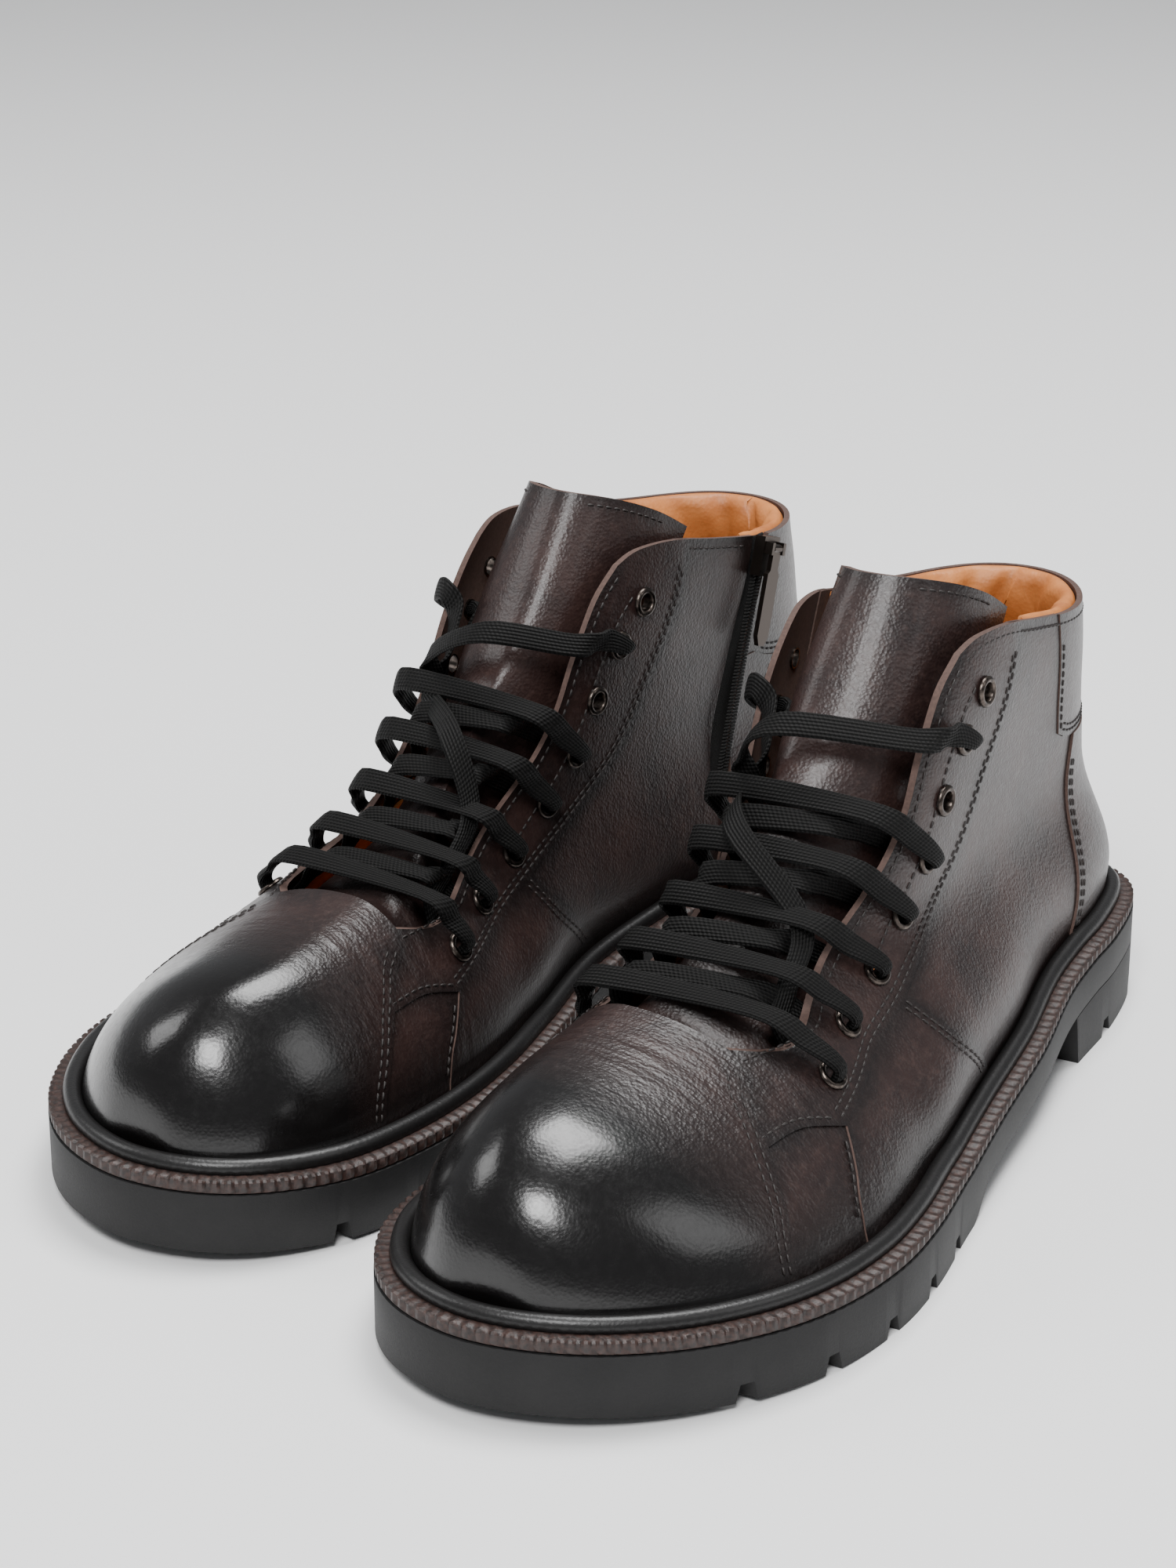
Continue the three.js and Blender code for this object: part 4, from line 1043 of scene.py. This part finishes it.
# A station is an eyelet row, a share of the way to either facing, and a depth below the instep.
deep, outside, bar = 4.6, -2.9, -4.0
lace_stations = [
    (6.5, -1, deep), (7, -1, deep), (7, -1, outside), (7, -0.62, outside - 0.4), (6.95, -0.4, -1),
    (6.7, -0.4, 3), (6.2, -0.42, deep), (5.6, -0.46, deep + 0.4), (5, -0.4, 2), (4, 0, -1.6),
    (3, 0.3, -1.6), (2, 0.42, 1.5), (1.45, 0.52, deep),
]
for row in range(1, 6):
    lace_stations += [
        (row, 1, deep), (row, 1, outside), (row, 0.66, bar), (row, 0.3, bar),
        (row, -0.3, bar), (row, -0.66, bar), (row, -1, outside), (row, -1, deep),
    ]
    if row < 5:
        lace_stations += [
            (row + 0.15, -0.5, deep - 0.6), (row + 0.4, -0.2, 0.8),
            (row + 0.6, 0.2, 0.8), (row + 0.85, 0.5, deep - 0.6),
        ]
lace_stations += [
    (5.2, -0.46, deep - 0.4), (5.6, -0.25, -0.6), (6, 0, bar), (6.5, 0.4, bar), (6.9, 0.7, outside),
    (7, 1, outside), (7, 1, deep), (6.5, 1, deep),
]


def on_lacing(row, share):
    reach = 1 - abs(share)
    over_s = float(instep_s(row))
    over_z = float(np.interp(over_s, *ridge_at(0)))
    s = float(row_s(row)) * (1 - reach) + over_s * reach
    z = float(row_z(row)) * (1 - reach) + over_z * reach
    return place(ridge_offset(s), s, z) if share == 0 else skin(math.copysign(1, share), s, z)


def lacing_point(row, share, depth):
    over = on_lacing(row, share + 0.04) - on_lacing(row, share - 0.04)
    upward = on_lacing(row + 0.1, share) - on_lacing(row - 0.1, share)
    normal = np.cross(over, upward)
    normal /= np.linalg.norm(normal)
    centre = on_lacing(row, share) - normal * depth
    return centre, over / np.linalg.norm(over), upward / np.linalg.norm(upward)


def lace(boot, hand):
    found = [lacing_point(row, share * hand, depth) for row, share, depth in lace_stations]
    centres = drawn([f[0] for f in found], False, lace_steps)
    hints = drawn([f[2] + 0.6 * f[1] * hand for f in found], False, lace_steps)
    at_eyelet = [1.0 if abs(share) == 1 else 0.0 for _, share, _ in lace_stations]
    tight = drawn([(t, t) for t in at_eyelet], False, lace_steps)[:, 0].clip(0, 1)
    tangents = np.gradient(centres, axis=0)
    tangents /= np.linalg.norm(tangents, axis=1, keepdims=True)
    run = np.concatenate([[0], np.cumsum(np.linalg.norm(np.diff(centres, axis=0), axis=1))])
    points, strands = [], []
    for centre, hint, tangent, pinch, far in zip(centres, hints, tangents, tight, run):
        wide = hint - tangent * (hint @ tangent)
        wide /= np.linalg.norm(wide)
        thick = np.cross(tangent, wide)
        half = lace_half_width + (pinched_half_width - lace_half_width) * pinch
        flat = lace_half_thickness + (pinched_half_thickness - lace_half_thickness) * pinch
        for k in range(lace_sides):
            angle = 2 * math.pi * k / lace_sides
            c, n = math.cos(angle), math.sin(angle)
            edgeways = math.copysign(abs(c) ** 0.8, c)
            points.append(centre + wide * half * edgeways + thick * flat * math.copysign(abs(n) ** 0.7, n))
            strands.append((edgeways, far, 0))
    mesh = closed_right(ring_body(np.array(points).reshape(-1, lace_sides, 3)))
    ribs = mesh.attributes.new("strand", "FLOAT_VECTOR", "POINT")
    ribs.data.foreach_set("vector", np.array(strands, np.float32).ravel())
    made = stand(boot, dressed(mesh, ribbed_lace), "flat_lace", ["lace"], "cord", smooth=60)
    path = [to_metres(boot) @ Vector(c) for c in centres]
    length = sum((b - a).length for a, b in zip(path, path[1:]))
    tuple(path[0])


for boot, hand in (("left", 1), ("right", -1)):
    lace(boot, hand)


# Zip tape: a strip of black woven tape behind the slot on the inside of the ankle.
# It is sewn in between the upper and the lining.
tape_layer, tape_half = (1.9, 2.6), 8
woven_tape = Finish("woven_tape")
weave = woven_tape.noise(3.0, 2.0)
woven_tape.shade(
    Base_Color=woven_tape.mix(weave, (0.004, 0.004, 0.004, 1), (0.025, 0.024, 0.023, 1)),
    Roughness=0.75,
    Specular_IOR_Level=0.2,
)
woven_tape.bump(weave, 0.6, 0.0004)
chain_line = np.array([(59.7, 120.16), (80, 48)])
tape_strip = np.vstack([moved(chain_line, tape_half), moved(chain_line, -tape_half)[::-1]])
tape = shell(tape_layer, ("INTERSECT", side_prism(tape_strip, *sides["medial"][1])), low_top)
both(dressed(tape, woven_tape), "zip_tape", ["zip_chain"], "zip_coil")

# Zip teeth: two rows of black coil that close on each other down the middle of the tape.
# Each turn is a short rounded bar, and the two rows lean against each other.
tooth_pitch, tooth_radius, teeth_length, teeth_x = 0.95, 0.42, 74.9, -27.75
chain_run = np.array([0, 20.3, 72.16])
zip_up = chain_run / np.linalg.norm(chain_run)
zip_across = np.array([0, -zip_up[2], zip_up[1]])
teeth = []
for k in range(int(74 / tooth_pitch)):
    t = k * tooth_pitch / teeth_length
    s, z = chain_line[0] * (1 - t) + chain_line[1] * t
    centre = np.array([teeth_x, sole_length / 2 - s, z])
    for sign in (-1, 1):
        a = centre + zip_across * sign * 2.6 - zip_up * 0.2
        b = centre + zip_across * sign * 0.1 + zip_up * (0.5 * sign)
        teeth.append(capsule(a, b, np.array([-1.0, 0, 0]), tooth_radius, 6))
both(dressed(gathered(teeth), woven_tape), "zip_teeth", [], "zip_coil", smooth=180)

# Zip slider and pull: small castings of the same dark metal as the eyelets.
# Their shapes are the frame's own, so they only get their finish here.
for boot in stands:
    for part in ("zip_slider", "zip_pull"):
        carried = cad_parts[f"{boot}_{part}"]
        for slot in carried.material_slots:
            slot.material = gunmetal.material
